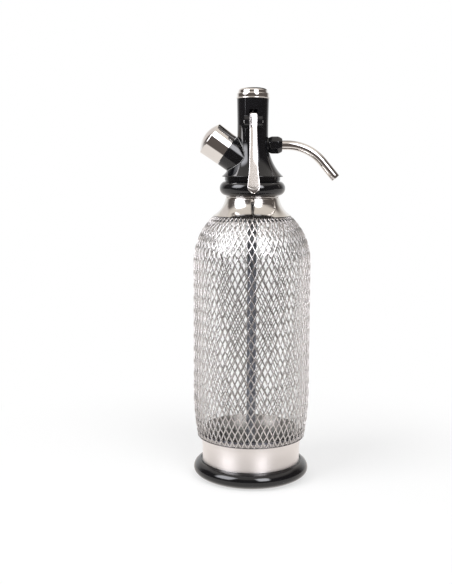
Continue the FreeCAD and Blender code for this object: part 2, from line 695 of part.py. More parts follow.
def head_body():
    foot = (INSERT_R + HEAD_WALL, HEAD_BOTTOM)
    bell_foot = (BELL_R, BELL_Z)
    cut_r = WAIST_R - WAIST_CUT_D
    cut_top = RIM_TOP + WAIST_CUT_H
    disc_in = FLANGE_R - FLANGE_T / 2
    body = turned(
        (0, HEAD_BOTTOM), foot, (RIM_R, (HEAD_BOTTOM + RIM_TOP) / 2, RIM_TOP_R, RIM_TOP),
        (cut_r, RIM_TOP), (cut_r, cut_top), (WAIST_R, cut_top), (WAIST_R, FLANGE_Z),
        (disc_in, FLANGE_Z), (FLANGE_R, (FLANGE_Z + BELL_Z) / 2, disc_in, BELL_Z),
        bell_foot, bowed(bell_foot, (TOWER_R, TOWER_Z), BELL_HOLLOW),
        (TOWER_R, PIVOT_Z), (TOWER_TOP_R, TOWER_TOP), (0, TOWER_TOP),
    )
    boss = turned((0, 0), (CHARGER_BOSS_R, 0), (CHARGER_BOSS_R, BOSS_FACE - EDGE),
                  (CHARGER_BOSS_R - EDGE, BOSS_FACE), (0, BOSS_FACE))
    body = body.fuse(along_charger(boss))
    body = body.cut(along_spout(rod(NUT_CORNER_R + ROOM, NUT_X, NUT_NOSE_X)))
    body = body.fuse(along_spout(rod(NUT_FLATS / 2 - BOSS_STEP, 0, NUT_X)))
    body = body.fuse(along_spout(rod(STUB_R, 0, STUB_X)))
    body = body.fuse(lever_ears())
    for cut in head_hollows():
        body = body.cut(cut)
    spigot = pipe(SPIGOT_R, RISER_R + RUN, HEAD_FLOOR - SPIGOT_L, HEAD_FLOOR)
    return body.fuse(spigot).removeSplitter()


def lever_ears():
    """Two rounded lugs on the tower's front that hold the lever's pin."""
    lug = crosswise(EAR_R, EARS_X, PIVOT_Y, PIVOT_Z)
    root = block(-EARS_X, EARS_X, PIVOT_Y, -TOWER_BORE_R - PAST, PIVOT_Z - EAR_R, PIVOT_Z + EAR_R)
    gap = block(-EAR_GAP / 2, EAR_GAP / 2, PIVOT_Y - EAR_R - PAST, EAR_GAP_DEPTH - TOWER_R,
                PIVOT_Z - EAR_R - PAST, PIVOT_Z + EAR_R + PAST)
    return lug.fuse(root).cut(gap)


def head_hollows():
    """Everything that is bored out of the head."""
    cone = Part.makeCone(NECK_BORE_R, CHARGER_BORE_R, CHARGER_SHOULDER_L,
                         at(0, 0, -CHARGER_SHOULDER_L))
    gas_reach = (NECK_R - GLASS_T - LIQUID_R) * math.sqrt(0.5)
    gas_foot = at(gas_reach, -gas_reach, HEAD_FLOOR - PAST)
    cross_z = SEAT_Z - SEAT_T - LIQUID_R
    slot = block(-SLOT_W / 2, SLOT_W / 2, PIVOT_Y - EAR_R - PAST, 0, GLAND_TOP,
                 PIVOT_Z + SLOT_RISE)
    return [
        rod(INSERT_R, HEAD_BOTTOM - PAST, HEAD_FLOOR),
        along_charger(rod(CHARGER_BORE_R, 0, BOSS_FACE + PAST)),
        along_charger(cone),
        along_charger(rod(NECK_BORE_R, PIN_SEAT, -CHARGER_SHOULDER_L)),
        along_charger(rod(PIN_PLUG_R, PIN_SEAT - PIN_PLUG_L, PIN_SEAT)),
        along_charger(rod(BOSS_BORE_R, THREAD_START, BOSS_FACE + PAST)),
        drilled(GAS_R, charger_point(PIN_SEAT - PIN_PLUG_L + GAS_R / 2), gas_foot),
        rod(RISER_R - RISER_T - EDGE, HEAD_FLOOR - PAST, LIQUID_Z),
        drilled(LIQUID_R, at(0, 0, LIQUID_Z), at(0, LIQUID_Y, LIQUID_Z)),
        drilled(LIQUID_R, at(0, LIQUID_Y, LIQUID_Z - LIQUID_R), at(0, LIQUID_Y, SEAT_Z - SEAT_T)),
        drilled(LIQUID_R, at(0, LIQUID_Y, cross_z), at(0, 0, cross_z)),
        rod(SEAT_R, cross_z - LIQUID_R, SEAT_Z),
        rod(CHAMBER_R, SEAT_Z, GLAND_Z),
        rod(GLAND_R, GLAND_Z, GLAND_TOP),
        rod(TOWER_BORE_R, GLAND_TOP, PLUG_BOTTOM),
        rod(PLUG_R + RUN, PLUG_BOTTOM, TOWER_TOP + PAST),
        along_spout(rod(SPOUT_BORE_R, 0, STUB_X + PAST)),
        slot,
        crosswise(PIVOT_PIN_R, TOWER_R, PIVOT_Y, PIVOT_Z),
    ]


def head_insert():
    """Metal ring with the inside thread, moulded into the head, with a bright lip below it."""
    bore = RING_R + RUN
    foot_z = RING_BOTTOM + INSERT_GAP
    neck_r = INSERT_R - EDGE
    lip_in = LIP_R - LIP_T / 2
    return turned(
        (bore, foot_z), (neck_r, foot_z), (neck_r, LIP_TOP - LIP_T), (lip_in, LIP_TOP - LIP_T),
        (LIP_R, LIP_TOP - LIP_T / 2, lip_in, LIP_TOP),
        (INSERT_R, LIP_TOP), (INSERT_R, HEAD_FLOOR), (bore, HEAD_FLOOR),
    )


def head_gasket():
    return pipe(BEAD_R - GASKET_INSET, NECK_R - GLASS_T + ROOM, MOUTH_Z + SEAT, HEAD_FLOOR - SEAT)


def riser_tube():
    return pipe(RISER_R, RISER_R - RISER_T, GLASS_Z + GLASS_BOTTOM_T + RISER_LIFT, HEAD_FLOOR)


def riser_seal():
    top = HEAD_FLOOR - SPIGOT_L
    return pipe(SPIGOT_R - SEAL_STEP, RISER_R, top - SEAL_T, top)


def measuring_tube():
    """Clear tube on the head's spigot, closed round the riser at its foot by a thin web."""
    top = HEAD_FLOOR - MEASURE_DROP
    low = top - MEASURE_L
    tube = pipe(SPIGOT_R + MEASURE_T, SPIGOT_R, low, top)
    return tube.fuse(pipe(SPIGOT_R, RISER_R, low, low + MEASURE_WEB_T)).removeSplitter()


def lever_pin():
    return crosswise(PIVOT_PIN_R, EARS_X, PIVOT_Y, PIVOT_Z)


def cap_plug():
    """Threaded plug that closes the tower and holds the spring down."""
    pocket = rod(SPRING_R + SPRING_WIRE_R + SPRING_ROOM, PLUG_BOTTOM, SPRING_TOP)
    return rod(PLUG_R, PLUG_BOTTOM, TOWER_TOP).cut(pocket)


def top_cap():
    lip_r = TOWER_TOP_R + CAP_OUT
    tier_r = lip_r - CAP_STEP
    step_z = TOWER_TOP + CAP_LIP_T
    side_z = step_z + CAP_TIER_H
    crown_z = side_z + CAP_TIER_ROUND
    crown_r = tier_r - CAP_TIER_ROUND
    shell = turned(
        (0, TOWER_TOP), (lip_r - EDGE, TOWER_TOP), (lip_r, TOWER_TOP + EDGE),
        *rounded(lip_r - CAP_LIP_ROUND, step_z - CAP_LIP_ROUND, CAP_LIP_ROUND),
        (tier_r, step_z), *rounded(crown_r, side_z, CAP_TIER_ROUND),
        dome(crown_r, crown_z, crown_z + CAP_CROWN_H),
    )
    return shell.cut(rod(tier_r - CAP_T, TOWER_TOP, side_z))


# ---- valve and lever ------------------------------------------------------------------------

def valve_seal():
    return rod(FOOT_R, SEAT_Z, SEAT_Z + FOOT_T)


def valve_stem():
    """Foot, stem and the spool that the lever's fork lifts."""
    foot_top = SEAT_Z + 2 * FOOT_T
    return turned(
        (0, SEAT_Z + FOOT_T), (FOOT_R, SEAT_Z + FOOT_T), (FOOT_R, foot_top), (STEM_R, foot_top),
        (STEM_R, SPOOL_LOW), (SPOOL_R, SPOOL_LOW), (SPOOL_R, SPOOL_LOW + SPOOL_T),
        (STEM_R, SPOOL_LOW + SPOOL_T), (STEM_R, SPOOL_HIGH - SPOOL_T),
        (SPOOL_R, SPOOL_HIGH - SPOOL_T), (SPOOL_R, SPOOL_HIGH), (STEM_R, SPOOL_HIGH),
        (STEM_R, SPOOL_HIGH + STEM_END), (0, SPOOL_HIGH + STEM_END),
    )


def valve_spring():
    low = SPOOL_HIGH + SPRING_WIRE_R
    height = SPRING_TOP - SPRING_WIRE_R - low
    path = Part.makeHelix(height / SPRING_TURNS, height, SPRING_R)
    wire = Part.Wire(Part.makeCircle(SPRING_WIRE_R, at(SPRING_R, 0, 0), Y).Edges)
    coil = Part.Wire(path.Edges).makePipeShell([wire], True, True)
    coil.translate(at(0, 0, low))
    return outward(coil)


def gland_washer():
    return pipe(GLAND_R - RUN, STEM_R + STEM_ROOM, GLAND_Z, GLAND_Z + WASHER_T)


def gland_ring():
    return Part.makeTorus(STEM_R + RUN + O_RING_R, O_RING_R,
                          at(0, 0, GLAND_Z + WASHER_T + O_RING_R))


def gland_bush():
    """Bush that holds the O-ring down and guides the stem."""
    low = GLAND_Z + WASHER_T
    flange = rod(TOWER_BORE_R - RUN, GLAND_TOP, GLAND_TOP + BUSH_FLANGE_T)
    bore = rod(STEM_R + RUN, low, GLAND_TOP + BUSH_FLANGE_T)
    recess = rod(STEM_R + 2 * (RUN + O_RING_R), low, low + 2 * O_RING_R + O_RING_PLAY)
    return rod(GLAND_R - RUN, low, GLAND_TOP).fuse(flange).cut(bore).cut(recess).removeSplitter()


def lever_plate():
    """Handle plate: its side outline, cut to its front outline."""
    top_y = LEVER_OUT - PIVOT_Y
    bend_y = LEVER_BEND_OUT - PIVOT_Y
    tip_y = LEVER_TIP_OUT - PIVOT_Y
    top_z = PIVOT_Z + LEVER_RISE
    bend_z = PIVOT_Z - LEVER_BEND_DROP
    tip_z = PIVOT_Z - LEVER_DROP
    side = outline(
        (top_y, top_z), (bend_y, bend_z), (tip_y, tip_z), (tip_y + LEVER_TIP_T, tip_z),
        (bend_y + LEVER_T, bend_z + LEVER_BEND_STEP), (top_y + LEVER_T, top_z),
    )
    side.rotate(at(0, 0, 0), Z, -90)
    side.translate(at(-LEVER_BLADE_W, 0, 0))
    half = LEVER_W / 2
    top = LEVER_TOP_W / 2
    blade = LEVER_BLADE_W / 2
    flare_z = PIVOT_Z - LEVER_FLARE_DROP
    blade_z = tip_z + LEVER_BLADE_RISE
    curve_z = (flare_z + blade_z) / 2
    curve_x = half + LEVER_WAIST * (blade - half)
    nose_x = LEVER_NOSE * blade
    nose_z = (blade_z + tip_z) / 2 - LEVER_NOSE_DROP
    front = outline(
        (top - LEVER_CORNER, top_z), (top, top_z - LEVER_CORNER), (half, bend_z), (half, flare_z),
        (curve_x, curve_z, blade, blade_z), (nose_x, nose_z, 0, tip_z),
        (-nose_x, nose_z, -blade, blade_z), (-curve_x, curve_z, -half, flare_z),
        (-half, bend_z), (-top, top_z - LEVER_CORNER), (-top + LEVER_CORNER, top_z),
    )
    depth = at(0, tip_y + LEVER_T + PAST, 0)
    front.translate(-depth)
    plate = outward(side.extrude(at(2 * LEVER_BLADE_W, 0, 0)))
    return plate.common(outward(front.extrude(depth)))


def lever():
    """Handle plate, hub and the forked inner arm that lifts the valve stem."""
    half = ARM_W / 2
    hub_r = PIVOT_PIN_R + HUB_T
    hub = crosswise(hub_r, half, PIVOT_Y, PIVOT_Z)
    web = block(-half, half, PIVOT_Y - LEVER_OUT - LEVER_T / 4, PIVOT_Y,
                PIVOT_Z - hub_r, PIVOT_Z + hub_r)
    arm = block(-half, half, PIVOT_Y, 0, PIVOT_Z - ARM_T / 2, PIVOT_Z + ARM_T / 2)
    tips = crosswise(FORK_TIP_R, half, 0, PIVOT_Z)
    throat = STEM_R + FORK_ROOM
    fork = block(-throat, throat, -STEM_R - FORK_DEPTH, FORK_TIP_R + PAST,
                 PIVOT_Z - FORK_TIP_R - PAST, PIVOT_Z + FORK_TIP_R + PAST)
    hole = crosswise(PIVOT_PIN_R + RUN, half + PAST, PIVOT_Y, PIVOT_Z)
    body = lever_plate().fuse(web).fuse(hub).fuse(arm).fuse(tips)
    return body.cut(fork).cut(hole).removeSplitter()


# ---- spout ----------------------------------------------------------------------------------

def bent_rod(r, start_x):
    """Solid along the spout's centre line: straight, bend, straight."""
    turn = math.radians(SPOUT_BEND)
    first = Part.makeCylinder(r, BEND_X - start_x, at(start_x, 0, SPOUT_Z), X)
    disc = Part.Face(Part.Wire(Part.makeCircle(r, at(BEND_X, 0, SPOUT_Z), X).Edges))
    bend = outward(disc.revolve(at(BEND_X, 0, SPOUT_Z - SPOUT_BEND_R), Y, SPOUT_BEND))
    end = at(BEND_X + SPOUT_BEND_R * math.sin(turn), 0,
             SPOUT_Z - SPOUT_BEND_R * (1 - math.cos(turn)))
    last = Part.makeCylinder(r, SPOUT_END, end, at(math.cos(turn), 0, -math.sin(turn)))
    return first.fuse(bend).fuse(last).removeSplitter()


def spout_tube():
    flange = along_spout(rod(SPOUT_LIP_R, SPOUT_LIP_X, SPOUT_LIP_X + SPOUT_LIP_T))
    tube = bent_rod(SPOUT_R, SPOUT_LIP_X).fuse(flange)
    return tube.cut(bent_rod(SPOUT_BORE_R, SPOUT_LIP_X)).removeSplitter()


def spout_seal():
    return along_spout(pipe(SPOUT_LIP_R, SPOUT_BORE_R, STUB_X, SPOUT_LIP_X))


def spout_nut():
    """Eight-sided union nut with a chamfered nose."""
    corners = [at(NUT_CORNER_R * math.cos(a), NUT_CORNER_R * math.sin(a), NUT_X)
               for a in [math.pi / 8 + k * math.pi / 4 for k in range(9)]]
    nut = Part.Face(Part.makePolygon(corners)).extrude(at(0, 0, NUT_NOSE_X - NUT_X))
    nose = turned(
        (0, NUT_X), (NUT_CORNER_R - NUT_CHAMFER, NUT_X), (NUT_CORNER_R, NUT_X + NUT_CHAMFER),
        (NUT_CORNER_R, NUT_SHOULDER_X), (SPOUT_R + NOSE_WALL, NUT_NOSE_X), (0, NUT_NOSE_X),
    )
    thread = rod(STUB_R + RUN, NUT_X, SPOUT_LIP_X + SPOUT_LIP_T)
    nut = outward(nut).common(nose).cut(thread)
    return along_spout(nut.cut(rod(SPOUT_R + RUN, NUT_X, NUT_NOSE_X)))


# ---- charger --------------------------------------------------------------------------------

def co2_charger():
    """Standard steel bulb, pierced by the pin."""
    bottom = CHARGER_TIP + CHARGER_L
    neck_end = (CHARGER_NECK_R, CHARGER_TIP + CHARGER_NECK_L)
    body_end = (CHARGER_R, neck_end[1] + CHARGER_SHOULDER_L)
    round_z = bottom - CHARGER_R
    inner_r = CHARGER_R - CHARGER_WALL
    shell = turned(
        (0, CHARGER_TIP), (CHARGER_NECK_R - CHARGER_CHAMFER, CHARGER_TIP),
        (CHARGER_NECK_R, CHARGER_TIP + CHARGER_CHAMFER), neck_end,
        bowed(neck_end, body_end, -CHARGER_SHOULDER_BOW),
        (CHARGER_R, round_z), dome(CHARGER_R, round_z, bottom),
    )
    hollow = turned(
        (0, neck_end[1]), (CHARGER_NECK_R - CHARGER_WALL, neck_end[1] + PAST),
        (inner_r, body_end[1] + PAST), (inner_r, round_z),
        dome(inner_r, round_z, bottom - CHARGER_WALL),
    )
    pierced = rod(PIN_R + PIN_PLAY, CHARGER_TIP - PAST, neck_end[1] + PAST)
    return along_charger(shell.cut(hollow).cut(pierced))


def holder_cap():
    """Bright domed cap that the hand turns."""
    low = BOSS_FACE + HOLDER_GAP
    inner_r = CHARGER_BORE_R + PIN_PLAY
    inner_z = DOME_S - PAST
    shell = turned(
        (0, low), (HOLDER_R - EDGE, low), (HOLDER_R, low + EDGE),
        *rounded(HOLDER_EDGE_R - HOLDER_EDGE, DOME_S - HOLDER_EDGE, HOLDER_EDGE),
        dome(HOLDER_EDGE_R - HOLDER_EDGE, DOME_S, HOLDER_TOP),
    )
    hollow = turned(
        (0, BOSS_FACE), (SLEEVE_R, BOSS_FACE), (SLEEVE_R, SLEEVE_TOP), (inner_r, SLEEVE_TOP),
        (inner_r, inner_z), dome(inner_r, inner_z, HOLDER_TOP - HOLDER_CROWN_T),
    )
    return along_charger(shell.cut(hollow))


def holder_sleeve():
    """Threaded sleeve inside the cap that screws into the head."""
    return along_charger(pipe(SLEEVE_R, CHARGER_BORE_R, THREAD_START + THREAD_PLAY, SLEEVE_TOP))


def piercing_pin():
    """Hollow pin on a plug at the bottom of the charger's bore."""
    low = PIN_SEAT - PIN_PLUG_L
    tip = CHARGER_TIP + PIERCE_L
    body = turned(
        (0, low), (PIN_PLUG_R, low), (PIN_PLUG_R, PIN_SEAT), (PIN_R, PIN_SEAT),
        (PIN_R, tip - PIN_POINT_L), (PIN_POINT_R, tip), (0, tip),
    )
    bore = rod(PIN_BORE_R, low - PAST, tip - PIN_POINT_L)
    return along_charger(body.cut(bore))


def charger_seal():
    return along_charger(pipe(NECK_BORE_R - RUN, PIN_R + HOLDER_SEAL_ROOM,
                              PIN_SEAT, PIN_SEAT + HOLDER_SEAL_T))


# ---- parts ----------------------------------------------------------------------------------

PIECES = [
    glass_bottle, mesh_sleeve, base_ring, base_cushion, foot_pad, base_band, shoulder_collar,
    neck_ring, head_gasket, head_body, head_insert, riser_tube, riser_seal, measuring_tube,
    lever_pin, cap_plug, top_cap, gland_washer, gland_ring, gland_bush, valve_seal, valve_stem,
    valve_spring, lever, spout_tube, spout_seal, spout_nut, piercing_pin, charger_seal,
    co2_charger, holder_cap, holder_sleeve,
]

os.makedirs("parts", exist_ok=True)
for piece in PIECES:
    shape = piece()
    shape.exportStep("parts/" + piece.__name__ + ".step")
    print(f"{piece.__name__:16s} solids {len(shape.Solids)} valid {shape.isValid()} "
          f"volume {shape.Volume:.1f}")
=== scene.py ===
import json
import math

import bmesh
import bpy
from mathutils import Euler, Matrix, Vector


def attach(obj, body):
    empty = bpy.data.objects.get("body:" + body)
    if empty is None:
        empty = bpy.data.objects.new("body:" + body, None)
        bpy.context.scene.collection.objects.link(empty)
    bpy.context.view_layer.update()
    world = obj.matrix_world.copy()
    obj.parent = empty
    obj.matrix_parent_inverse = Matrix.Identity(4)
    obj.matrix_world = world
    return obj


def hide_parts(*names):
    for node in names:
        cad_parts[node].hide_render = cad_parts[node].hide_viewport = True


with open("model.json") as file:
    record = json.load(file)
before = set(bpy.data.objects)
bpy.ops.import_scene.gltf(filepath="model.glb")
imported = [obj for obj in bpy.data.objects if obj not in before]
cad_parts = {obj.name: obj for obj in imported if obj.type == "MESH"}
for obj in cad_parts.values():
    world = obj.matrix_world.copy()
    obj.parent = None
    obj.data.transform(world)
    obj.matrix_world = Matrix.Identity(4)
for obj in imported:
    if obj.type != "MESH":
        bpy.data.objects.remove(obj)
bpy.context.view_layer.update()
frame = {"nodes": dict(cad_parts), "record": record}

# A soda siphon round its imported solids. Metres, the origin on the bottle's axis at the floor, +Z up,
# +X towards the spout and -Y towards the lever. Sizes of pieces are written in millimetres; those
# of finishes, camera, floor and light are in metres.

MM = 0.001
NODES = frame["nodes"]


# ---- nodes ----------------------------------------------------------------------------------

class Wire:
    """An output socket in a node tree. Sums and products of wires add Math nodes."""

    def __init__(self, tree, socket):
        self.tree = tree
        self.socket = socket

    def math(self, operation, *values):
        return self.tree.node("ShaderNodeMath", {"operation": operation}, *values)

    def __add__(self, other):
        return self.math("ADD", self, other)

    def __radd__(self, other):
        return self.math("ADD", other, self)

    def __sub__(self, other):
        return self.math("SUBTRACT", self, other)

    def __rsub__(self, other):
        return self.math("SUBTRACT", other, self)

    def __mul__(self, other):
        return self.math("MULTIPLY", self, other)

    def __rmul__(self, other):
        return self.math("MULTIPLY", other, self)

    def __truediv__(self, other):
        return self.math("DIVIDE", self, other)

    def above(self, low):
        return self.math("MAXIMUM", self, low)

    def below(self, high):
        return self.math("MINIMUM", self, high)

    def power(self, exponent):
        return self.math("POWER", self.math("ABSOLUTE", self), exponent)

    def sine(self):
        return self.math("SINE", self)

    def cosine(self):
        return self.math("COSINE", self)


MIX_SHARE, MIX_LOW, MIX_HIGH = 0, 6, 7     # a Mix node's inputs for colours, and its output
MIX_COLOUR = 2


class Tree:
    """A node tree that is written from Python."""

    def __init__(self, tree):
        self.tree = tree

    def node(self, kind, settings, *values, out=0, **named):
        """Adds a node, sets it up, then fills its sockets in order and by name. A name's
        underscores stand for spaces."""
        made = self.tree.nodes.new(kind)
        for name, value in settings.items():
            setattr(made, name, value)
        sockets = dict(enumerate(values))
        sockets.update({name.replace("_", " "): value for name, value in named.items()})
        for key, value in sockets.items():
            self.fill(made.inputs[key], value)
        return Wire(self, made.outputs[out]) if len(made.outputs) else made

    def fill(self, socket, value):
        if isinstance(value, Wire):
            self.tree.links.new(value.socket, socket)
        elif value is not None:
            socket.default_value = value

    def mix(self, share, low, high):
        """A colour between two, the first at a share of 0."""
        made = self.node("ShaderNodeMix", {"data_type": "RGBA"}, out=MIX_COLOUR)
        for key, value in ((MIX_SHARE, share), (MIX_LOW, low), (MIX_HIGH, high)):
            self.fill(made.socket.node.inputs[key], value)
        return made

    def ramp(self, value, low, high):
        """Rises smoothly from 0 at one value to 1 at another."""
        return self.node("ShaderNodeMapRange", {"interpolation_type": "SMOOTHSTEP"}, value, low,
                         high, 0.0, 1.0)

    def also(self, wire, name):
        """Another output of the node that a wire comes from."""
        return Wire(self, wire.socket.node.outputs[name])


def rgb(red, green, blue):
    return (red, green, blue, 1)


# ---- finishes -------------------------------------------------------------------------------

def finish(name, constants):
    """A new material. Constants are set on the shader's own sockets."""
    material = bpy.data.materials.new(name)
    material.use_nodes = True
    shader = material.node_tree.nodes["Principled BSDF"]
    for socket, value in constants.items():
        shader.inputs[socket].default_value = value
    return material, Tree(material.node_tree), shader


def place(tree, scale=(1, 1, 1)):
    """The point on the piece, stretched."""
    point = tree.node("ShaderNodeTexCoord", {}, out="Object")
    return tree.node("ShaderNodeMapping", {}, point, None, None, scale)


def speckle(tree, scale, size, detail=2.0):
    """Smooth noise around 0.5."""
    return tree.node("ShaderNodeTexNoise", {}, place(tree, scale), Scale=size, Detail=detail)


def grain(tree, height, depth):
    """A bump that rises by a depth in metres."""
    return tree.node("ShaderNodeBump", {}, Strength=1.0, Distance=depth, Height=height)


FINE = 3.0                  # detail of the finest noise
METAL_PATCHES = 60.0        # noise sizes of the worn patches
PLASTIC_PATCHES = 45.0
METAL_WORN = 0.08           # worn metal is darker by this share
PLASTIC_WORN = (1.4, 0.001)  # worn plastic is paler by this ratio and amount
GLASS_STRETCH = (1, 1, 0.35)
GLASS_WAVES = 40.0


def metal(name, colour, rough, rough_spread, stretch, size, depth):
    """Metal with brushed or turned lines along the directions that stretch leaves long."""
    material, tree, shader = finish(name, {"Metallic": 1.0})
    lines = speckle(tree, stretch, size, FINE)
    wear = speckle(tree, (1, 1, 1), METAL_PATCHES)
    tree.fill(shader.inputs["Roughness"], rough + rough_spread * (lines - 0.5) * 2
              + rough_spread * (wear - 0.5))
    dark = [c * (1 - METAL_WORN) for c in colour]
    tree.fill(shader.inputs["Base Color"], tree.mix(wear, rgb(*dark), rgb(*colour)))
    tree.fill(shader.inputs["Normal"], grain(tree, lines, depth))
    return material


def plastic(name, colour, rough, rough_spread, size, depth, constants):
    """Moulded plastic or rubber with faint unevenness."""
    material, tree, shader = finish(name, {"IOR": 1.5, **constants})
    fine = speckle(tree, (1, 1, 1), size, FINE)
    wear = speckle(tree, (1, 1, 1), PLASTIC_PATCHES)
    tree.fill(shader.inputs["Roughness"], rough + rough_spread * (wear - 0.5) * 2)
    ratio, amount = PLASTIC_WORN
    pale = [c * ratio + amount for c in colour]
    tree.fill(shader.inputs["Base Color"], tree.mix(wear, rgb(*colour), rgb(*pale)))
    tree.fill(shader.inputs["Normal"], grain(tree, fine, depth))
    return material


def clear(name, colour, ior, rough, depth):
    """Clear glass or plastic with faint waves in its surface."""
    material, tree, shader = finish(name, {"IOR": ior, "Transmission Weight": 1.0,
                                           "Base Color": rgb(*colour), "Roughness": rough})
    waves = speckle(tree, GLASS_STRETCH, GLASS_WAVES)
    tree.fill(shader.inputs["Normal"], grain(tree, waves, depth))
    return material


# Stretches of the noise that make its lines run up the siphon, or round it.
ALONG_Z = (400.0, 400.0, 6.0)
ROUND_Z = (3.0, 3.0, 900.0)

# The band carries painted shade over these heights, where the mesh covers it, and on its outside only.
# Its wall leans by a slope, and the second pair are radii that the wall would have at the floor.
BAND_SHADE_HEIGHTS = (0.0360, 0.0364)
BAND_OUTSIDE = (0.0386, 0.0389)
BAND_SLOPE = 0.175
BAND_DULL = (0.88, 0.84, 0.82)
BAND_BRIGHT = (0.92, 0.88, 0.86)
# colour of the painted shade under the mesh
BAND_PAINTED_SHADE = (0.13, 0.13, 0.16)
BAND_ROUGH = 0.40
BAND_SPREAD = 0.03
HIDDEN_ROUGH = 0.2          # added where the mesh covers it
BAND_LINES = 4.0
BAND_DEPTH = 1e-5


def band_steel():
    """Satin steel with turned lines, and painted shade where the mesh covers it."""
    material, tree, shader = finish("satin_steel", {"Metallic": 1.0, "Anisotropic": 0.8,
                                                    "Anisotropic Rotation": 0.25})
    lines = speckle(tree, ROUND_Z, BAND_LINES, FINE)
    wear = speckle(tree, (1, 1, 1), METAL_PATCHES)
    height = tree.node("ShaderNodeSeparateXYZ", {}, place(tree), out="Z")
    flat = tree.node("ShaderNodeVectorMath", {"operation": "LENGTH"}, place(tree, (1, 1, 0)),
                     out="Value")
    # Painted shade: the band's outside goes dark above the mesh's lower edge.
    outside = tree.ramp(flat - BAND_SLOPE * height, *BAND_OUTSIDE)
    painted_shade = tree.ramp(height, *BAND_SHADE_HEIGHTS) * outside
    steel = tree.mix(wear, rgb(*BAND_DULL), rgb(*BAND_BRIGHT))
    tree.fill(shader.inputs["Base Color"], tree.mix(painted_shade, steel, rgb(*BAND_PAINTED_SHADE)))
    tree.fill(shader.inputs["Roughness"], BAND_ROUGH + BAND_SPREAD * (wear - 0.5)
              + HIDDEN_ROUGH * painted_shade)
    tree.fill(shader.inputs["Normal"], grain(tree, lines, BAND_DEPTH))
    return material


# Plastics: name, colour, roughness and its spread, size and depth of the grain, other sockets.
# Metals: name, colour, roughness and its spread, stretch, size and depth of the lines.
# Clear ones: name, colour, index of refraction, roughness, depth of the waves.
BLACK = plastic("gloss_black_plastic", (0.0035, 0.0035, 0.0045), 0.07, 0.01, 900.0, 2e-7,
                {"Coat Weight": 0.15, "Coat Roughness": 0.04})
RUBBER = plastic("black_rubber", (0.028, 0.028, 0.028), 0.75, 0.08, 1500.0, 2e-5, {})
GREY = plastic("grey_tube_plastic", (0.15, 0.16, 0.19), 0.4, 0.05, 700.0, 4e-6, {})
GLASS = clear("clear_glass", (0.98, 0.98, 0.98), 1.5, 0.0, 6e-6)
CLEAR = clear("clear_tube_plastic", (0.93, 0.95, 0.96), 1.49, 0.03, 2e-6)
CHROME = metal("chrome", (0.83, 0.80, 0.77), 0.06, 0.01, (1, 1, 1), 300.0, 1e-7)
SATIN_CHROME = metal("satin_chrome", (0.80, 0.77, 0.75), 0.15, 0.01, ALONG_Z, 1.0, 1e-6)
POLISHED_STEEL = metal("polished_steel", (0.76, 0.73, 0.69), 0.13, 0.03, ROUND_Z, 1.0, 2e-6)
PLAIN_STEEL = metal("plain_steel", (0.62, 0.62, 0.62), 0.32, 0.05, (1, 1, 1), 500.0, 4e-6)
BRASS = metal("machined_brass", (0.75, 0.58, 0.31), 0.22, 0.05, ROUND_Z, 1.0, 3e-6)
MESH_STEEL = metal("mesh_steel", (0.66, 0.64, 0.63), 0.22, 0.02, (1, 1, 1), 700.0, 5e-7)
# a paler black for the boss bead: a painted highlight along the joint
PAINTED_HIGHLIGHT_BLACK = plastic("painted_highlight_black_plastic", (0.14, 0.14, 0.14), 0.25, 0.02, 900.0, 2e-7, {})
# Dark steel is painted shade: on the holder's sleeve for the gap it shows in, and on the mesh hoops
# for the shadow lines at the mesh's ends.
SHADE_DARK_STEEL = metal("shade_dark_steel", (0.16, 0.155, 0.16), 0.34, 0.05, ROUND_Z, 1.0, 3e-6)

NODE_FINISH = {
    "clear_glass": GLASS, "steel_mesh": MESH_STEEL, "black_plastic": BLACK, "rubber": RUBBER,
    "satin_steel": band_steel(), "polished_steel": POLISHED_STEEL, "brass": BRASS,
    "chrome": CHROME, "satin_chrome": SATIN_CHROME, "plain_steel": PLAIN_STEEL,
    "grey_plastic": GREY, "clear_plastic": CLEAR,
}


def dress_nodes():
    """Gives every solid the finish of its slot in the record, and the charger holder's brass
    sleeve a dark one, which is painted shade for the thin gap where it shows."""
    for part in frame["record"]["subparts"]:
        node = NODES[part["node"]]
        node.data.materials.clear()
        node.data.materials.append(NODE_FINISH[part["material_slot"]])
    # painted shade: the sleeve shows only in a thin gap
    NODES["holder_sleeve"].data.materials[0] = SHADE_DARK_STEEL


# ---- pieces ---------------------------------------------------------------------------------

def new_piece(name, mesh, material, body, replaced):
    """Links a finished mesh as a piece that rides on a body and stands in for some nodes."""
    if not mesh.materials:
        mesh.materials.append(material)
    piece = bpy.data.objects.new(name, mesh)
    bpy.context.scene.collection.objects.link(piece)
    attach(piece, body)
    if replaced:
        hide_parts(*replaced)


# The mesh sleeve: two lays of flat strands, plaited over and under each other, with hoops at their
# ends, dark for painted shade, and a dark strip of painted shade under the upper ones.

MESH_OUT = 50.2             # outside radius on the straight body
MESH_WALL = 1.2             # both lays together
TUCK_ARC = 211.0            # outline of the lower taper, and the height where it ends
TUCK_TOP = 75.0
SHOULDER_ARC = 52.6         # outline of the shoulder, and the height where it starts
SHOULDER_START = 187.992
MESH_LOW = 36.2             # heights of the strands' ends
MESH_HIGH = 227.9
STRANDS = 57                # of each lay
ROWS = 36                   # crossings up one strand
STEPS_PER_ROW = 3
STRAND_WIDTH = 1.1
STRAND_THICK = 0.54
SWING = 0.27                # out and in at the crossings
STRAND_SIDES = 10           # points round a strand's section, and how far it is squared off
STRAND_SQUARE = 1.6


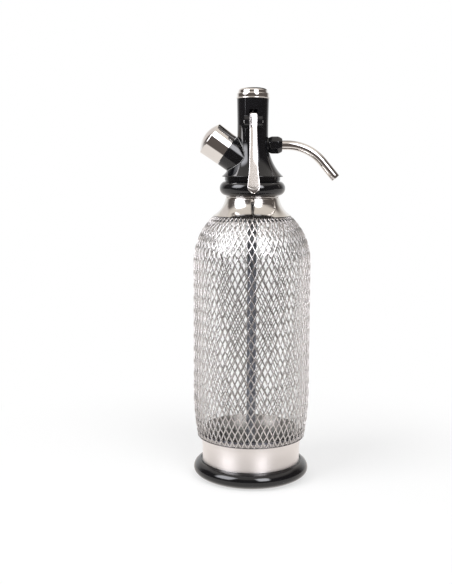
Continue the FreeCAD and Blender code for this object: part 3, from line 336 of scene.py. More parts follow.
def strand_tree(name):
    """Geometry of one lay. Strands climb the sleeve's outline and swing out and in at each
    crossing."""
    group = bpy.data.node_groups.new(name, "GeometryNodeTree")
    tree = Tree(group)
    face = group.interface
    face.new_socket("Geometry", in_out="OUTPUT", socket_type="NodeSocketGeometry")
    sizes = {
        "Lay": 1.0, "Body radius": (MESH_OUT - MESH_WALL / 2) * MM,
        "Taper arc": (TUCK_ARC - MESH_WALL / 2) * MM, "Taper top": TUCK_TOP * MM,
        "Shoulder arc": (SHOULDER_ARC - MESH_WALL / 2) * MM,
        "Shoulder start": SHOULDER_START * MM, "Low edge": MESH_LOW * MM,
        "High edge": MESH_HIGH * MM, "Strand width": STRAND_WIDTH * MM,
        "Strand thickness": STRAND_THICK * MM, "Swing": SWING * MM,
    }
    counts = {"Strands": STRANDS, "Rows": ROWS, "Steps per row": STEPS_PER_ROW}
    for label, value in sizes.items():
        face.new_socket(label, in_out="INPUT", socket_type="NodeSocketFloat").default_value = value
    for label, value in counts.items():
        face.new_socket(label, in_out="INPUT", socket_type="NodeSocketInt").default_value = value
    face.new_socket("Material", in_out="INPUT", socket_type="NodeSocketMaterial")
    group_in = group.nodes.new("NodeGroupInput")
    size = {s.name: Wire(tree, s) for s in group_in.outputs if s.name}

    low_turn = tree.node("ShaderNodeMath", {"operation": "ARCSINE"},
                         (size["Taper top"] - size["Low edge"]) / size["Taper arc"])
    high_turn = tree.node("ShaderNodeMath", {"operation": "ARCSINE"},
                          (size["High edge"] - size["Shoulder start"]) / size["Shoulder arc"])
    taper_run = low_turn * size["Taper arc"]
    straight_run = size["Shoulder start"] - size["Taper top"]
    shoulder_run = high_turn * size["Shoulder arc"]
    whole_run = taper_run + straight_run + shoulder_run

    share = tree.node("GeometryNodeSplineParameter", {}, out="Factor")
    run = share * whole_run
    taper_turn = (taper_run - run).above(0.0) / size["Taper arc"]
    shoulder_turn = (run - taper_run - straight_run).above(0.0) / size["Shoulder arc"]
    lean = shoulder_turn - taper_turn
    radius = (size["Body radius"] - size["Taper arc"] * (1.0 - taper_turn.cosine())
              - size["Shoulder arc"] * (1.0 - shoulder_turn.cosine()))
    straight = (run - taper_run).above(0.0).below(straight_run)
    height = (size["Taper top"] + straight - size["Taper arc"] * taper_turn.sine()
              + size["Shoulder arc"] * shoulder_turn.sine())
    crossing = share * size["Rows"]
    swing = size["Lay"] * size["Swing"] * (crossing * math.pi).cosine()
    turn = size["Lay"] * crossing * math.pi / size["Strands"]
    out_r = lean.cosine()
    out_z = lean.sine()
    strand_r = radius + swing * out_r
    spot = tree.node("ShaderNodeCombineXYZ", {}, strand_r * turn.cosine(), strand_r * turn.sine(),
                     height + swing * out_z)
    outward = tree.node("ShaderNodeCombineXYZ", {}, out_r * turn.cosine(), out_r * turn.sine(),
                        out_z)

    line = tree.node("GeometryNodeCurvePrimitiveLine", {}, (0, 0, 0), (0, 0, 1))
    line = tree.node("GeometryNodeResampleCurve", {"mode": "COUNT"}, Curve=line,
                     Count=size["Rows"] * size["Steps per row"] + 1.0)
    line = tree.node("GeometryNodeSetPosition", {}, Geometry=line, Position=spot)
    line = tree.node("GeometryNodeSetCurveNormal", {"mode": "FREE"}, Curve=line, Normal=outward)
    ring = tree.node("GeometryNodeCurvePrimitiveCircle", {"mode": "RADIUS"},
                     Resolution=STRAND_SIDES, Radius=0.5)
    round_spot = tree.node("GeometryNodeInputPosition", {})
    thick = tree.node("ShaderNodeSeparateXYZ", {}, round_spot, out="X")
    wide = tree.also(thick, "Y")
    flat = tree.node("ShaderNodeCombineXYZ", {},
                     size["Strand thickness"] * (thick * STRAND_SQUARE).above(-0.5).below(0.5),
                     size["Strand width"] * wide, 0.0)
    ring = tree.node("GeometryNodeSetPosition", {}, Geometry=ring, Position=flat)
    strand = tree.node("GeometryNodeCurveToMesh", {}, Curve=line, Profile_Curve=ring,
                       Fill_Caps=True)
    strand = tree.node("GeometryNodeSetShadeSmooth", {}, Geometry=strand)

    number = tree.node("GeometryNodeInputIndex", {})
    spin = tree.node("ShaderNodeCombineXYZ", {}, 0.0, 0.0,
                     number * (2 * math.pi) / size["Strands"])
    places = tree.node("GeometryNodePoints", {}, Count=size["Strands"])
    lay = tree.node("GeometryNodeInstanceOnPoints", {}, Points=places, Instance=strand)
    lay = tree.node("GeometryNodeRotateInstances", {}, Instances=lay, Rotation=spin)
    lay = tree.node("GeometryNodeRealizeInstances", {}, Geometry=lay)
    lay = tree.node("GeometryNodeSetMaterial", {}, Geometry=lay, Material=size["Material"])
    group_out = group.nodes.new("NodeGroupOutput")
    tree.fill(group_out.inputs["Geometry"], lay)
    return group


def grown(name, group, values):
    """The plain mesh that a geometry tree makes with these inputs."""
    seed = bpy.data.objects.new(name + "_seed", bpy.data.meshes.new(name + "_seed"))
    bpy.context.scene.collection.objects.link(seed)
    modifier = seed.modifiers.new("grow", "NODES")
    modifier.node_group = group
    for item in group.interface.items_tree:
        if item.in_out == "INPUT" and item.name in values:
            modifier[item.identifier] = values[item.name]
    shown = seed.evaluated_get(bpy.context.evaluated_depsgraph_get())
    mesh = bpy.data.meshes.new_from_object(shown)
    mesh.name = name
    seed.modifiers.remove(modifier)
    bpy.data.objects.remove(seed)
    return mesh


def mesh_sleeve():
    """The two lays, each wound its own way."""
    group = strand_tree("plaited_strands")
    for name, lay in (("mesh_right_lay", 1.0), ("mesh_left_lay", -1.0)):
        mesh = grown(name, group, {"Lay": lay, "Material": MESH_STEEL})
        new_piece(name, mesh, MESH_STEEL, "bottle", ["mesh_sleeve"])


# ---- solid pieces ---------------------------------------------------------------------------

ACROSS = Vector((1, 0, 0))
DEEP = Vector((0, 1, 0))
UP = Vector((0, 0, 1))

CREASE = 40.0               # degrees above which an edge looks sharp
CORNER_TURNS = (-0.85, -0.3, 0.3, 0.85)  # points on a nut's corner, in eighths of a half turn


def skin(name, rings, looped=False):
    """A closed skin over rings of points, in millimetres. Looped joins the last ring to the first,
    and otherwise each end gets a face."""
    count = len(rings[0])
    pairs = [(k, k + 1) for k in range(len(rings) - 1)]
    faces = []
    if looped:
        pairs.append((len(rings) - 1, 0))
    else:
        faces = [tuple(range(count)), tuple(range(len(rings) * count - count, len(rings) * count))]
    for low, high in pairs:
        for k in range(count):
            after = (k + 1) % count
            faces.append((low * count + k, low * count + after, high * count + after,
                          high * count + k))
    mesh = bpy.data.meshes.new(name)
    mesh.from_pydata([point * MM for ring in rings for point in ring], [], faces)
    work = bmesh.new()
    work.from_mesh(mesh)
    bmesh.ops.recalc_face_normals(work, faces=work.faces)
    work.to_mesh(mesh)
    work.free()
    mesh.shade_smooth()
    mesh.set_sharp_from_angle(angle=math.radians(CREASE))
    return mesh


def together(name, meshes):
    """Several skins as one mesh."""
    work = bmesh.new()
    for mesh in meshes:
        work.from_mesh(mesh)
    joined = bpy.data.meshes.new(name)
    work.to_mesh(joined)
    work.free()
    joined.shade_smooth()
    joined.set_sharp_from_angle(angle=math.radians(CREASE))
    return joined


def circle(radius, count):
    return [(radius * math.cos(a), radius * math.sin(a))
            for a in (2 * math.pi * k / count for k in range(count))]


def octagon(flats, corner):
    """Eight flat sides with round corners, four points to each."""
    points = []
    reach = (flats / 2 - corner) / math.cos(math.pi / 8)
    for k in range(8):
        middle = math.pi / 8 + k * math.pi / 4
        for turn in CORNER_TURNS:
            a = middle + turn * math.pi / 8
            points.append((reach * math.cos(middle) + corner * math.cos(a),
                           reach * math.sin(middle) + corner * math.sin(a)))
    return points


def box_ring(wide, tall, corner):
    """A rectangle with round corners."""
    points = []
    for k, (right, top) in enumerate(((1, 1), (-1, 1), (-1, -1), (1, -1))):
        for turn in (0.0, 0.5, 1.0):
            a = (k + turn) * math.pi / 2
            points.append((right * (wide / 2 - corner) + corner * math.cos(a),
                           top * (tall / 2 - corner) + corner * math.sin(a)))
    return points


def laid(centre, side, rise, flat):
    """Flat points set out from a centre along two directions."""
    return [centre + side * a + rise * b for a, b in flat]


def turned(name, outline, count, centre=Vector((0, 0, 0)), axis=UP, looped=False):
    """A skin turned about an axis, from (radius, distance along it) pairs."""
    side = axis.orthogonal().normalized()
    rise = axis.cross(side)
    return skin(name, [laid(centre + axis * along, side, rise, circle(radius, count))
                       for radius, along in outline], looped)


def value_at(table, x):
    """A smooth value between the rows of a falling table of (x, value)."""
    rows = [(-row[0], row[1]) for row in table]
    x = min(max(-x, rows[0][0]), rows[-1][0])
    k = max(i for i in range(len(rows) - 1) if rows[i][0] <= x)
    slopes = []
    for i in (k, k + 1):
        before, after = rows[max(i - 1, 0)], rows[min(i + 1, len(rows) - 1)]
        slopes.append((after[1] - before[1]) / (after[0] - before[0]))
    step = rows[k + 1][0] - rows[k][0]
    t = (x - rows[k][0]) / step
    return ((2 * t ** 3 - 3 * t ** 2 + 1) * rows[k][1] + (t ** 3 - 2 * t ** 2 + t) * step * slopes[0]
            + (3 * t ** 2 - 2 * t ** 3) * rows[k + 1][1] + (t ** 3 - t ** 2) * step * slopes[1])


# The lever: a crowned handle that is bent below its pin and ends in an engraved shell, and inside
# the tower its hub and arm.

PIN_OUT = 15.5              # the lever's pin, out from the siphon's axis, and its height
PIN_HIGH = 305.0
HANDLE_TOP = (18.7, 311.6)  # back face of the handle, (out, height)
HANDLE_BEND = (19.8, 300.6)
HANDLE_TIP = (44.0, 246.8)
BEND_SOFT = 2.6             # half length of the bend
HANDLE_HALF = (             # (height, half width)
    (311.6, 2.35), (311.0, 2.8), (309.0, 2.98), (301.0, 3.0), (290.0, 3.06), (280.0, 3.2),
    (272.0, 3.38), (266.0, 3.6), (260.0, 4.15), (256.3, 4.6), (252.7, 4.98), (251.3, 4.96),
    (250.3, 4.68), (249.0, 3.7), (248.0, 2.4), (247.3, 1.2), (246.9, 0.5),
)
HANDLE_THICK = ((311.6, 1.5), (310.6, 2.1), (301.0, 2.3), (290.0, 2.3), (256.0, 2.0),
                (249.0, 1.7), (246.9, 0.9))
HANDLE_CROWN = ((311.6, 0.16), (304.0, 0.16), (299.0, 0.40), (277.0, 0.36), (268.0, 0.04),
                (252.0, 0.03), (246.9, 0.03))
# The crown's highest line, in half widths from the middle.
CROWN_AT = ((311.6, -1.3), (304.0, -1.2), (299.0, -0.28), (275.0, -0.28), (267.0, 0.0),
            (246.9, 0.0))
HANDLE_EDGE = 0.30          # round of the handle's edges, and its largest share of a half width
EDGE_SHARE = 0.6
FACE_EDGE_TURNS = (0.35, 0.7, 1.0)  # points on the edges, in quarter turns
BACK_EDGE_TURNS = (0.0, 0.5, 1.0)
LINE_DEEP = 0.08            # engraved line above the shell
LINE_HALF = 0.32
LINE_HIGH = 252.0           # its height at the handle's sides, and its fall to the middle
LINE_FALL = 1.7
FACE_STEPS = 20             # across the handle
HANDLE_RINGS = ((311.6, 0.25, 5), (310.4, 0.9, 62), (254.6, 0.14, 55))  # (height, step, count)
BEND_HALVINGS = 30          # rounds of search for a height on the bend

HUB_STEPS = 40
HUB_OUTLINE = (             # (radius, along the pin)
    (1.56, -2.9), (1.75, -3.1), (2.9, -3.1), (3.1, -2.9), (3.1, 2.9), (2.9, 3.1), (1.75, 3.1),
    (1.56, 2.9),
)
WEB = (6.0, 5.6, 0.4)       # width, height and corner of the section from the hub to the handle
WEB_RUN = (-4.4, -2.2)      # its ends, in from the pin
ARM = (6.0, 1.5, 0.3)       # the same of the arm that lifts the valve
ARM_RUN = (2.6, 12.4)
TINE_OUT = 2.5              # the fork's tines at the arm's end, out from the middle
TINE_WIDE = 1.2
TINE_CORNER = 0.3
TINE_RUN = ((12.0, 1.5), (14.3, 2.5), (15.5, 2.9), (16.8, 2.2))  # (in from the pin, height)

PIN_STEPS = 32
PIN_HALF = 7.5
PIN_DOME = ((0.05, 0.55), (0.5, 0.5), (1.0, 0.3), (1.35, 0.05), (1.49, -0.2))  # (radius, past it)


def handle_spot(z):
    """The back face's middle at a height, and its outward direction."""
    top, bend, tip = (Vector((0, -out, high)) for out, high in (HANDLE_TOP, HANDLE_BEND, HANDLE_TIP))
    upper = (bend - top).normalized()
    lower = (tip - bend).normalized()
    start = bend - upper * BEND_SOFT
    end = bend + lower * BEND_SOFT
    if z > start.z:
        spot, way = top + upper * ((top.z - z) / -upper.z), upper
    elif z < end.z:
        spot, way = bend + lower * ((bend.z - z) / -lower.z), lower
    else:
        low, high = 0.0, 1.0
        for _ in range(BEND_HALVINGS):
            t = (low + high) / 2
            spot = start * (1 - t) ** 2 + bend * (2 * t * (1 - t)) + end * t ** 2
            low, high = (t, high) if spot.z > z else (low, t)
        way = (upper * (1 - t) + lower * t).normalized()
    return spot, way.cross(ACROSS).normalized()


def handle_edge(half, edge, shoulder):
    """Round edge from the handle's face to its back, on the right."""
    points = []
    for turn in FACE_EDGE_TURNS:
        a = turn * math.pi / 2
        points.append((half - edge + edge * math.sin(a), shoulder - edge + edge * math.cos(a)))
    for turn in BACK_EDGE_TURNS:
        a = turn * math.pi / 2
        points.append((half - edge + edge * math.cos(a), edge * (1 - math.sin(a))))
    return points


def handle_ring(z):
    """Section of the handle: a crowned face with round edges over a flat back."""
    spot, outward = handle_spot(z)
    half = value_at(HANDLE_HALF, z)
    thick = value_at(HANDLE_THICK, z)
    crown = value_at(HANDLE_CROWN, z)
    crown_at = value_at(CROWN_AT, z)
    edge = min(HANDLE_EDGE, half * EDGE_SHARE)
    flat = []
    for k in range(FACE_STEPS + 1):
        share = -1 + 2 * k / FACE_STEPS
        x = share * (half - edge)
        line = LINE_HIGH - LINE_FALL * (1 - (x / half) ** 2)
        dent = LINE_DEEP * math.exp(-((z - line) / LINE_HALF) ** 2)
        flat.append((x, thick - crown * (x / half - crown_at) ** 2 - dent))
    right = handle_edge(half, edge, flat[-1][1])
    left = [(-x, deep) for x, deep in reversed(handle_edge(half, edge, flat[0][1]))]
    return laid(spot, ACROSS, outward, flat + right + left)


def lever():
    """The handle outside the tower, and the hub, arm and fork inside it."""
    heights = [start - step * k for start, step, count in HANDLE_RINGS for k in range(count)]
    handle = skin("lever_handle", [handle_ring(z) for z in heights])
    new_piece("lever_handle", handle, SATIN_CHROME, "lever", ["lever"])

    pin = Vector((0, -PIN_OUT, PIN_HIGH))
    hub = turned("hub", HUB_OUTLINE, HUB_STEPS, pin, ACROSS, True)
    web = skin("web", [laid(pin + DEEP * y, ACROSS, UP, box_ring(*WEB)) for y in WEB_RUN])
    arm = skin("arm", [laid(pin + DEEP * y, ACROSS, UP, box_ring(*ARM)) for y in ARM_RUN])
    fork = [skin("tine", [laid(pin + ACROSS * side * TINE_OUT + DEEP * y, ACROSS, UP,
                               box_ring(TINE_WIDE, tall, TINE_CORNER)) for y, tall in TINE_RUN])
            for side in (-1, 1)]
    inside = together("lever_arm", [hub, web, arm, *fork])
    new_piece("lever_arm", inside, SATIN_CHROME, "lever", ["lever"])


def lever_pin():
    """Pin with domed ends that show beside the ears."""
    dome = [(radius, PIN_HALF + past) for radius, past in PIN_DOME]
    outline = dome + [(radius, -along) for radius, along in reversed(dome)]
    pin = Vector((0, -PIN_OUT, PIN_HIGH))
    mesh = turned("lever_pin_domed", outline, PIN_STEPS, pin, ACROSS)
    new_piece("lever_pin_domed", mesh, PLAIN_STEEL, "head", ["lever_pin"])


# The spout and its union nut.

SPOUT_HIGH = 286.3
SPOUT_OUT = 3.9             # outside and inside radius
SPOUT_IN = 2.2
SPOUT_START = 19.2          # the tube's inner end and the start of its bend, out from the axis
SPOUT_BEND_AT = 29.2
SPOUT_BEND_R = 38.8
SPOUT_BEND = 50.0           # degrees
SPOUT_LAST = 17.6           # straight length after the bend
SPOUT_FLANGE = 5.2          # radius and length of the flange inside the nut
FLANGE_LONG = 1.6
FLANGE_AFTER = 4.0          # rings just after the flange and just before the mouth
MOUTH_BEFORE = 3.0
MOUTH = ((0.3, 0.0), (0.1, 0.09), (0.0, 0.3))  # round rim: (back from the end, into the wall)
BEND_STEPS = 36
SPOUT_STEPS = 56            # round the tube


def spout_ring(run, radius):
    """Ring of the spout at a distance along its centre line."""
    straight = SPOUT_BEND_AT - SPOUT_START
    arc = SPOUT_BEND_R * math.radians(SPOUT_BEND)
    turn = min(max(run - straight, 0.0), arc) / SPOUT_BEND_R
    after = max(run - straight - arc, 0.0)
    way = Vector((math.cos(turn), 0, -math.sin(turn)))
    rise = Vector((math.sin(turn), 0, math.cos(turn)))
    centre = (Vector((SPOUT_START + min(run, straight), 0, SPOUT_HIGH - SPOUT_BEND_R))
              + rise * SPOUT_BEND_R + way * after)
    return laid(centre, DEEP, rise, circle(radius, SPOUT_STEPS))


def spout_tube():
    """The bent tube, open at its mouth."""
    straight = SPOUT_BEND_AT - SPOUT_START
    arc = SPOUT_BEND_R * math.radians(SPOUT_BEND)
    whole = straight + arc + SPOUT_LAST
    bend = [straight + arc * k / BEND_STEPS for k in range(BEND_STEPS + 1)]
    outside = [(0.0, SPOUT_FLANGE), (FLANGE_LONG, SPOUT_FLANGE), (FLANGE_LONG, SPOUT_OUT),
               (FLANGE_AFTER, SPOUT_OUT)]
    outside += [(run, SPOUT_OUT) for run in bend + [whole - MOUTH_BEFORE]]
    outside += [(whole - back, SPOUT_OUT - wall) for back, wall in MOUTH]
    inside = [(whole - back, SPOUT_IN + wall) for back, wall in reversed(MOUTH)]
    inside += [(run, SPOUT_IN) for run in reversed(bend)] + [(0.0, SPOUT_IN)]
    mesh = skin("bent_spout", [spout_ring(*ring) for ring in outside + inside], True)
    new_piece("bent_spout", mesh, CHROME, "head", ["spout_tube"])


NUT_SIDES = (               # (x, width across the flats, corner radius)
    (13.2, 11.9, 3.4), (13.4, 12.4, 3.3), (14.1, 13.0, 3.0), (15.0, 13.7, 2.5),
    (15.7, 14.05, 1.7), (16.4, 14.2, 0.9), (17.2, 14.2, 0.55), (20.7, 14.2, 0.55),
    (21.3, 14.1, 0.7), (21.9, 13.7, 1.2), (23.0, 12.9, 3.2), (24.1, 12.0, 5.9),
    (24.5, 11.5, 5.74), (24.7, 10.9, 5.44),
)
NUT_BORE = ((24.7, 4.2), (24.4, 3.97), (21.0, 3.97), (20.9, 5.45), (13.2, 5.45))  # (x, radius)
FLAT_LEFT = 0.01            # an eight-sided ring with only this much flat is round


def spout_nut():
    """Eight-sided union nut with soft edges and a round nose."""
    rings = [laid(Vector((x, 0, SPOUT_HIGH)), DEEP, UP, octagon(flats, corner))
             for x, flats, corner in NUT_SIDES]
    rings += [laid(Vector((x, 0, SPOUT_HIGH)), DEEP, UP, octagon(2 * radius, radius - FLAT_LEFT))
              for x, radius in NUT_BORE]
    mesh = skin("union_nut", rings, True)
    new_piece("union_nut", mesh, BLACK, "head", ["spout_nut"])


# The bead where the charger boss grows out of the head, in a paler black that is a painted highlight.

BOSS_RADIUS = 13.95
BOSS_SLANT = 35.2           # degrees above the horizontal, towards -X
BOSS_CROSS = 266.6          # height where its axis crosses the siphon's
TOWER_RADIUS = 13.0
BELL_TOP = 292.0
BELL_ARC = 41.4             # outline of the bell, and the middle of its arc
BELL_ARC_R = 54.35
BELL_ARC_Z = 290.2
BEAD_RADIUS = 0.42
BEAD_STEPS = 96             # along it and round it
BEAD_SIDES = 10
BEAD_REACH = 40.0           # the boss leaves the head within this distance
BEAD_HALVINGS = 40          # rounds of search for where it does


def head_radius(z):
    """Outside radius of the bell and the tower at a height."""
    if z > BELL_TOP:
        return TOWER_RADIUS
    return BELL_ARC_R - math.sqrt(max(BELL_ARC ** 2 - (z - BELL_ARC_Z) ** 2, 0.0))


def boss_bead():
    """A ring along the line where the slanted boss meets the head."""
    slant = math.radians(BOSS_SLANT)
    way = Vector((-math.cos(slant), 0, math.sin(slant)))
    rise = Vector((math.sin(slant), 0, math.cos(slant)))
    spots = []
    for k in range(BEAD_STEPS):
        a = 2 * math.pi * k / BEAD_STEPS
        start = Vector((0, 0, BOSS_CROSS)) + (rise * math.cos(a) + DEEP * math.sin(a)) * BOSS_RADIUS
        low, high = 0.0, BEAD_REACH
        for _ in range(BEAD_HALVINGS):
            middle = (low + high) / 2
            spot = start + way * middle
            inside = math.hypot(spot.x, spot.y) < head_radius(spot.z)
            low, high = (middle, high) if inside else (low, middle)
        spots.append(start + way * low)
    rings = []
    for k, spot in enumerate(spots):
        along = (spots[(k + 1) % BEAD_STEPS] - spots[k - 1]).normalized()
        out = (spot - Vector((0, 0, spot.z))).normalized()
        side = along.cross(out).normalized()
        rings.append(laid(spot, side, along.cross(side), circle(BEAD_RADIUS, BEAD_SIDES)))
    mesh = skin("boss_bead", rings, True)
    new_piece("boss_bead", mesh, PAINTED_HIGHLIGHT_BLACK, "head", [])


# The cap: a lip with a bead at its foot, and an upper tier that leans in a little.

CAP_Z = 324.6
CAP_STEPS = 96
CAP_OUTLINE = (             # (radius, height over the tower's top)
    (11.5, 0.0), (13.5, 0.0), (13.72, 0.05), (13.9, 0.2), (14.0, 0.42), (14.0, 0.6), (13.9, 0.82),
    (13.72, 0.97), (13.5, 1.15), (13.64, 3.6), (13.56, 4.0), (13.35, 4.25), (13.05, 4.4),
    (12.62, 4.4), (12.56, 4.5), (12.26, 6.2), (12.1, 6.75), (11.8, 7.25), (11.3, 7.7),
    (10.6, 8.1), (9.6, 8.45), (8.2, 8.78), (6.2, 9.05), (3.6, 9.22), (1.0, 9.28), (0.02, 9.28),
    (0.02, 7.0), (11.5, 7.0),
)


def top_cap():
    """The bright cap on the tower."""
    outline = [(radius, CAP_Z + up) for radius, up in CAP_OUTLINE]
    mesh = turned("stepped_cap", outline, CAP_STEPS, looped=True)
    new_piece("stepped_cap", mesh, CHROME, "head", ["top_cap"])


# Hoops at the ends of the mesh sleeve, dark for painted shade, and a strip of painted shade under the
# upper ends.

HEM_STEPS = 120
HOOP = (1.1, 0.9, 0.3)      # width, height and corner of the hoops' section
HOOP_MIDDLE = 0.45          # half its height
FOOT_HOOP = 46.1            # middle radii
TOP_HOOP = 31.85
SHADE_STRIP_TURNS = (44.0, 46.0, 48.0, 49.6)  # degrees round the shoulder's arc
SHADE_STRIP_FACES = (1.02, 1.18)  # its outside and inside, in from the mesh's outside


def mesh_hems():
    """Hoops that hold the ends of the strands, dark for painted shade, and a dark strip under the
    upper ends that is painted shade.
    """
    for name, z, radius in (("mesh_foot_hoop", MESH_LOW + HOOP_MIDDLE, FOOT_HOOP),
                            ("mesh_top_hoop", MESH_HIGH - HOOP_MIDDLE, TOP_HOOP)):
        outline = [(radius - a, z + b) for a, b in box_ring(*HOOP)]
        mesh = turned(name, outline, HEM_STEPS, looped=True)
        new_piece(name, mesh, SHADE_DARK_STEEL, "bottle", ["mesh_sleeve"])
    outer, inner = SHADE_STRIP_FACES
    under = [(SHOULDER_ARC - outer, a) for a in SHADE_STRIP_TURNS]
    under += [(SHOULDER_ARC - inner, a) for a in reversed(SHADE_STRIP_TURNS)]
    outline = [(MESH_OUT - SHOULDER_ARC + arc * math.cos(math.radians(a)),
                SHOULDER_START + arc * math.sin(math.radians(a))) for arc, a in under]
    # A dark rubber strip inside the mesh: painted shade under its upper ends.
    strip = turned("mesh_neck_shade_strip", outline, HEM_STEPS, looped=True)
    new_piece("mesh_neck_shade_strip", strip, RUBBER, "bottle", [])


# ---- camera, floor and light ------------------------------------------------------------------

CAMERA_AT = (-0.020, -0.780, 0.2696)
CAMERA_LENS = 56.4          # lens and sensor in millimetres
CAMERA_SENSOR = 36.0
CAMERA_NEAREST = 0.01
CAMERA_DOWN = 7.9           # degrees, as the next two are
CAMERA_LEFT = 0.18
CAMERA_TILT = -0.15


def set_camera():
    camera = bpy.data.objects.new("camera", bpy.data.cameras.new("camera"))
    camera.data.lens = CAMERA_LENS
    camera.data.sensor_width = CAMERA_SENSOR
    camera.data.clip_start = CAMERA_NEAREST
    camera.location = CAMERA_AT
    camera.rotation_euler = Euler([math.radians(a) for a in
                                   (90 - CAMERA_DOWN, CAMERA_TILT, CAMERA_LEFT)])
    bpy.context.scene.collection.objects.link(camera)
    bpy.context.scene.camera = camera


HEAD_AT = Vector((0, 0, 0.30))
HOLDER_AT = Vector((-0.040, 0, 0.305))
LIGHT_FAR = 1.6             # from the head to the lamps and most cards
LAMP_ENERGY = 4.0           # watts for each square metre and unit of brightness
GLOW_POWER = 4.0            # how square a card's corners are
GLOW_EDGE = (1.0, 0.5)      # share of its half width where a card is clear, and where it is full


def facing(obj, azimuth, elevation, distance, aim=HEAD_AT):
    """Links an object at a distance from a point and facing it. Azimuth 0 is in front and 90 on
    the spout's side."""
    a, e = math.radians(azimuth), math.radians(elevation)
    way = Vector((math.sin(a) * math.cos(e), -math.cos(a) * math.cos(e), math.sin(e)))
    obj.location = aim + way * distance
    obj.rotation_euler = way.to_track_quat("Z", "Y").to_euler()
    bpy.context.scene.collection.objects.link(obj)


def blank(name):
    """A new material with nothing in its tree."""
    material = bpy.data.materials.new(name)
    material.use_nodes = True
    material.node_tree.nodes.clear()
    return material, Tree(material.node_tree)


def sheet(name, half_w, half_h, material):
    """A flat rectangle."""
    mesh = bpy.data.meshes.new(name)
    corners = [(-half_w, -half_h, 0), (half_w, -half_h, 0), (half_w, half_h, 0), (-half_w, half_h, 0)]
    mesh.from_pydata(corners, [], [(0, 1, 2, 3)])
    mesh.materials.append(material)
    return bpy.data.objects.new(name, mesh)


def glow(name, colour, strength, half_w, half_h):
    """Even light on a card with round corners, which turns clear towards its edge."""
    material, tree = blank(name)
    point = tree.node("ShaderNodeTexCoord", {}, out="Object")
    x = tree.node("ShaderNodeSeparateXYZ", {}, point, out="X")
    y = tree.also(x, "Y")
    corner = (x / half_w).power(GLOW_POWER) + (y / half_h).power(GLOW_POWER)
    full = tree.ramp(corner.power(1 / GLOW_POWER), *GLOW_EDGE)
    light = tree.node("ShaderNodeEmission", {}, rgb(*colour), strength)
    open_air = tree.node("ShaderNodeBsdfTransparent", {}, rgb(1, 1, 1))
    both = tree.node("ShaderNodeMixShader", {}, full, open_air, light)
    tree.node("ShaderNodeOutputMaterial", {}, both)
    return material


def card(name, azimuth, elevation, wide, tall, colour, strength, distance=LIGHT_FAR, aim=HEAD_AT):
    """A soft box that only reflections show. Its width and height are degrees seen from its aim."""
    half_w = distance * math.tan(math.radians(wide / 2))
    half_h = distance * math.tan(math.radians(tall / 2))
    obj = sheet(name, half_w, half_h, glow(name, colour, strength, half_w, half_h))
    facing(obj, azimuth, elevation, distance, aim)
    for ray in ("camera", "diffuse", "transmission", "volume_scatter", "shadow"):
        setattr(obj, "visible_" + ray, False)


def lamp(name, azimuth, elevation, wide, tall, brightness):
    """A light that reflections don't show."""
    light = bpy.data.lights.new(name, "AREA")
    light.shape = "RECTANGLE"
    light.size = 2 * LIGHT_FAR * math.tan(math.radians(wide / 2))
    light.size_y = 2 * LIGHT_FAR * math.tan(math.radians(tall / 2))
    light.energy = LAMP_ENERGY * light.size * light.size_y * brightness
    obj = bpy.data.objects.new(name, light)
    facing(obj, azimuth, elevation, LIGHT_FAR)
    obj.visible_glossy = False
    obj.visible_camera = False


def seen_how(tree):
    """1 for what is seen straight or only through glass, and 1 for what a surface mirrors."""
    ray = tree.node("ShaderNodeLightPath", {}, out="Is Camera Ray")
    through = tree.also(ray, "Is Transmission Ray")
    bounced = tree.also(ray, "Glossy Depth").below(1.0)
    clear_view = ray.above(through) * (1.0 - bounced)
    mirrored = through.above(tree.also(ray, "Is Glossy Ray")) * bounced
    return clear_view, mirrored


AMBIENT = 0.45              # grey of the surroundings that light the siphon
ROOM_COLOUR = (0.120, 0.104, 0.096)
CEILING_COLOUR = (0.82, 0.77, 0.72)
# What reflections show changes over these shares of the way: from the dark room to white towards
# the back, from that white to the ceiling's colour going up, and from the room to the ceiling.
ROOM_BACK = (0.40, 0.85)
ROOM_BACK_TOP = (0.25, 0.55)
ROOM_CEILING = (0.56, 0.76)


def set_world():
    """White behind the siphon, and for reflections a dark room in front of it and overhead."""
    world = bpy.data.worlds.new("studio")
    bpy.context.scene.world = world
    world.use_nodes = True
    world.node_tree.nodes.clear()
    tree = Tree(world.node_tree)
    clear_view, mirrored = seen_how(tree)
    way = tree.node("ShaderNodeTexCoord", {}, out="Generated")
    back = tree.node("ShaderNodeSeparateXYZ", {}, way, out="Y")
    up = tree.also(back, "Z")
    backdrop = tree.mix(tree.ramp(up, *ROOM_BACK_TOP), rgb(1, 1, 1), rgb(*CEILING_COLOUR))
    walls = tree.mix(tree.ramp(back, *ROOM_BACK), rgb(*ROOM_COLOUR), backdrop)
    room = tree.mix(tree.ramp(up, *ROOM_CEILING), walls, rgb(*CEILING_COLOUR))
    lit = tree.node("ShaderNodeBackground", {},
                    tree.mix(clear_view, rgb(AMBIENT, AMBIENT, AMBIENT), rgb(1, 1, 1)), 1.0)
    dark = tree.node("ShaderNodeBackground", {}, room, 1.0)
    both = tree.node("ShaderNodeMixShader", {}, mirrored, lit, dark)
    tree.node("ShaderNodeOutputWorld", {}, both)


PAPER_COLOUR = (0.95, 0.91, 0.88)  # the floor in reflections, and its front edge there
PAPER_EDGE = (-0.40, -0.30)
FLOOR_REACH = 4.0
FLOOR_GREY = 0.92
SHADOW_SHARE = 0.4          # of the floor's own shading, near the siphon
SHADOW_FADE = (0.10, 0.35)  # distances over which the shading fades out


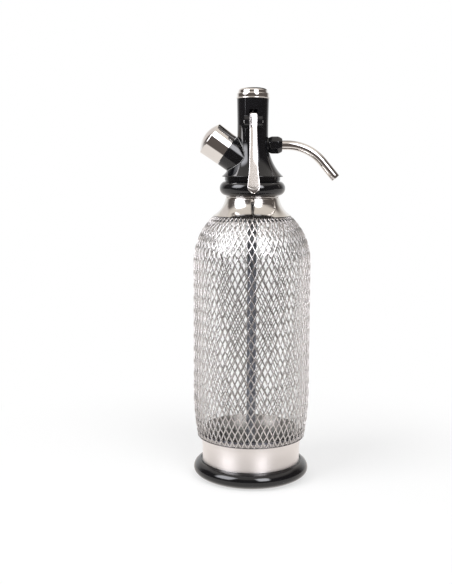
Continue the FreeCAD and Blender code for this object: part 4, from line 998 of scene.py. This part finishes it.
def set_floor():
    """A white floor that fades into the white surroundings, and keeps the soft shadow."""
    material, tree = blank("white_floor")
    clear_view, mirrored = seen_how(tree)
    point = tree.node("ShaderNodeTexCoord", {}, out="Object")
    front = tree.node("ShaderNodeSeparateXYZ", {}, point, out="Y")
    paper = tree.ramp(front, *PAPER_EDGE)
    far = tree.node("ShaderNodeVectorMath", {"operation": "LENGTH"}, point, out="Value")
    away = tree.ramp(far, *SHADOW_FADE)
    shown = clear_view * (1 - SHADOW_SHARE + SHADOW_SHARE * away) + mirrored
    paint = tree.node("ShaderNodeBsdfDiffuse", {}, rgb(FLOOR_GREY, FLOOR_GREY, FLOOR_GREY))
    reflection = tree.mix(paper, rgb(*ROOM_COLOUR), rgb(*PAPER_COLOUR))
    white = tree.node("ShaderNodeEmission", {}, tree.mix(clear_view, reflection, rgb(1, 1, 1)), 1.0)
    mixed = tree.node("ShaderNodeMixShader", {}, shown, paint, white)
    tree.node("ShaderNodeOutputMaterial", {}, mixed)
    floor = sheet("floor", FLOOR_REACH, FLOOR_REACH, material)
    bpy.context.scene.collection.objects.link(floor)


BOX_COLOUR = (0.95, 0.95, 1.0)
WALL_COLOUR = (1.0, 0.94, 0.92)
LAMPS = (                   # name, azimuth, elevation, width and height in degrees, brightness
    ("left_lamp", -54, 36, 32, 50, 3.6),
    ("right_lamp", 26, 36, 30, 50, 3.0),
)
CARDS = (                   # the same, with a colour before the brightness
    ("left_box", -60, 30.5, 46, 51, BOX_COLOUR, 8.0),
    ("right_box", 26.5, 30.5, 31, 51, BOX_COLOUR, 9.0),
    ("left_strip", -59, 3.1, 1.9, 3.2, BOX_COLOUR, 9.0),
    ("side_wall", -140, 30, 40, 40, WALL_COLOUR, 0.78),
    # A black card close to the charger holder makes its upper stripe dark.
    ("dark_flag", 138, 42, 50, 44, (0, 0, 0), 0.0, 0.12, HOLDER_AT),
)


def set_studio():
    """Surroundings, floor, lamps and cards."""
    set_world()
    set_floor()
    for row in LAMPS:
        lamp(*row)
    for row in CARDS:
        card(*row)


dress_nodes()
mesh_sleeve()
mesh_hems()
lever()
lever_pin()
spout_tube()
spout_nut()
boss_bead()
top_cap()
set_camera()
set_studio()
bpy.context.scene.view_settings.view_transform = "Standard"
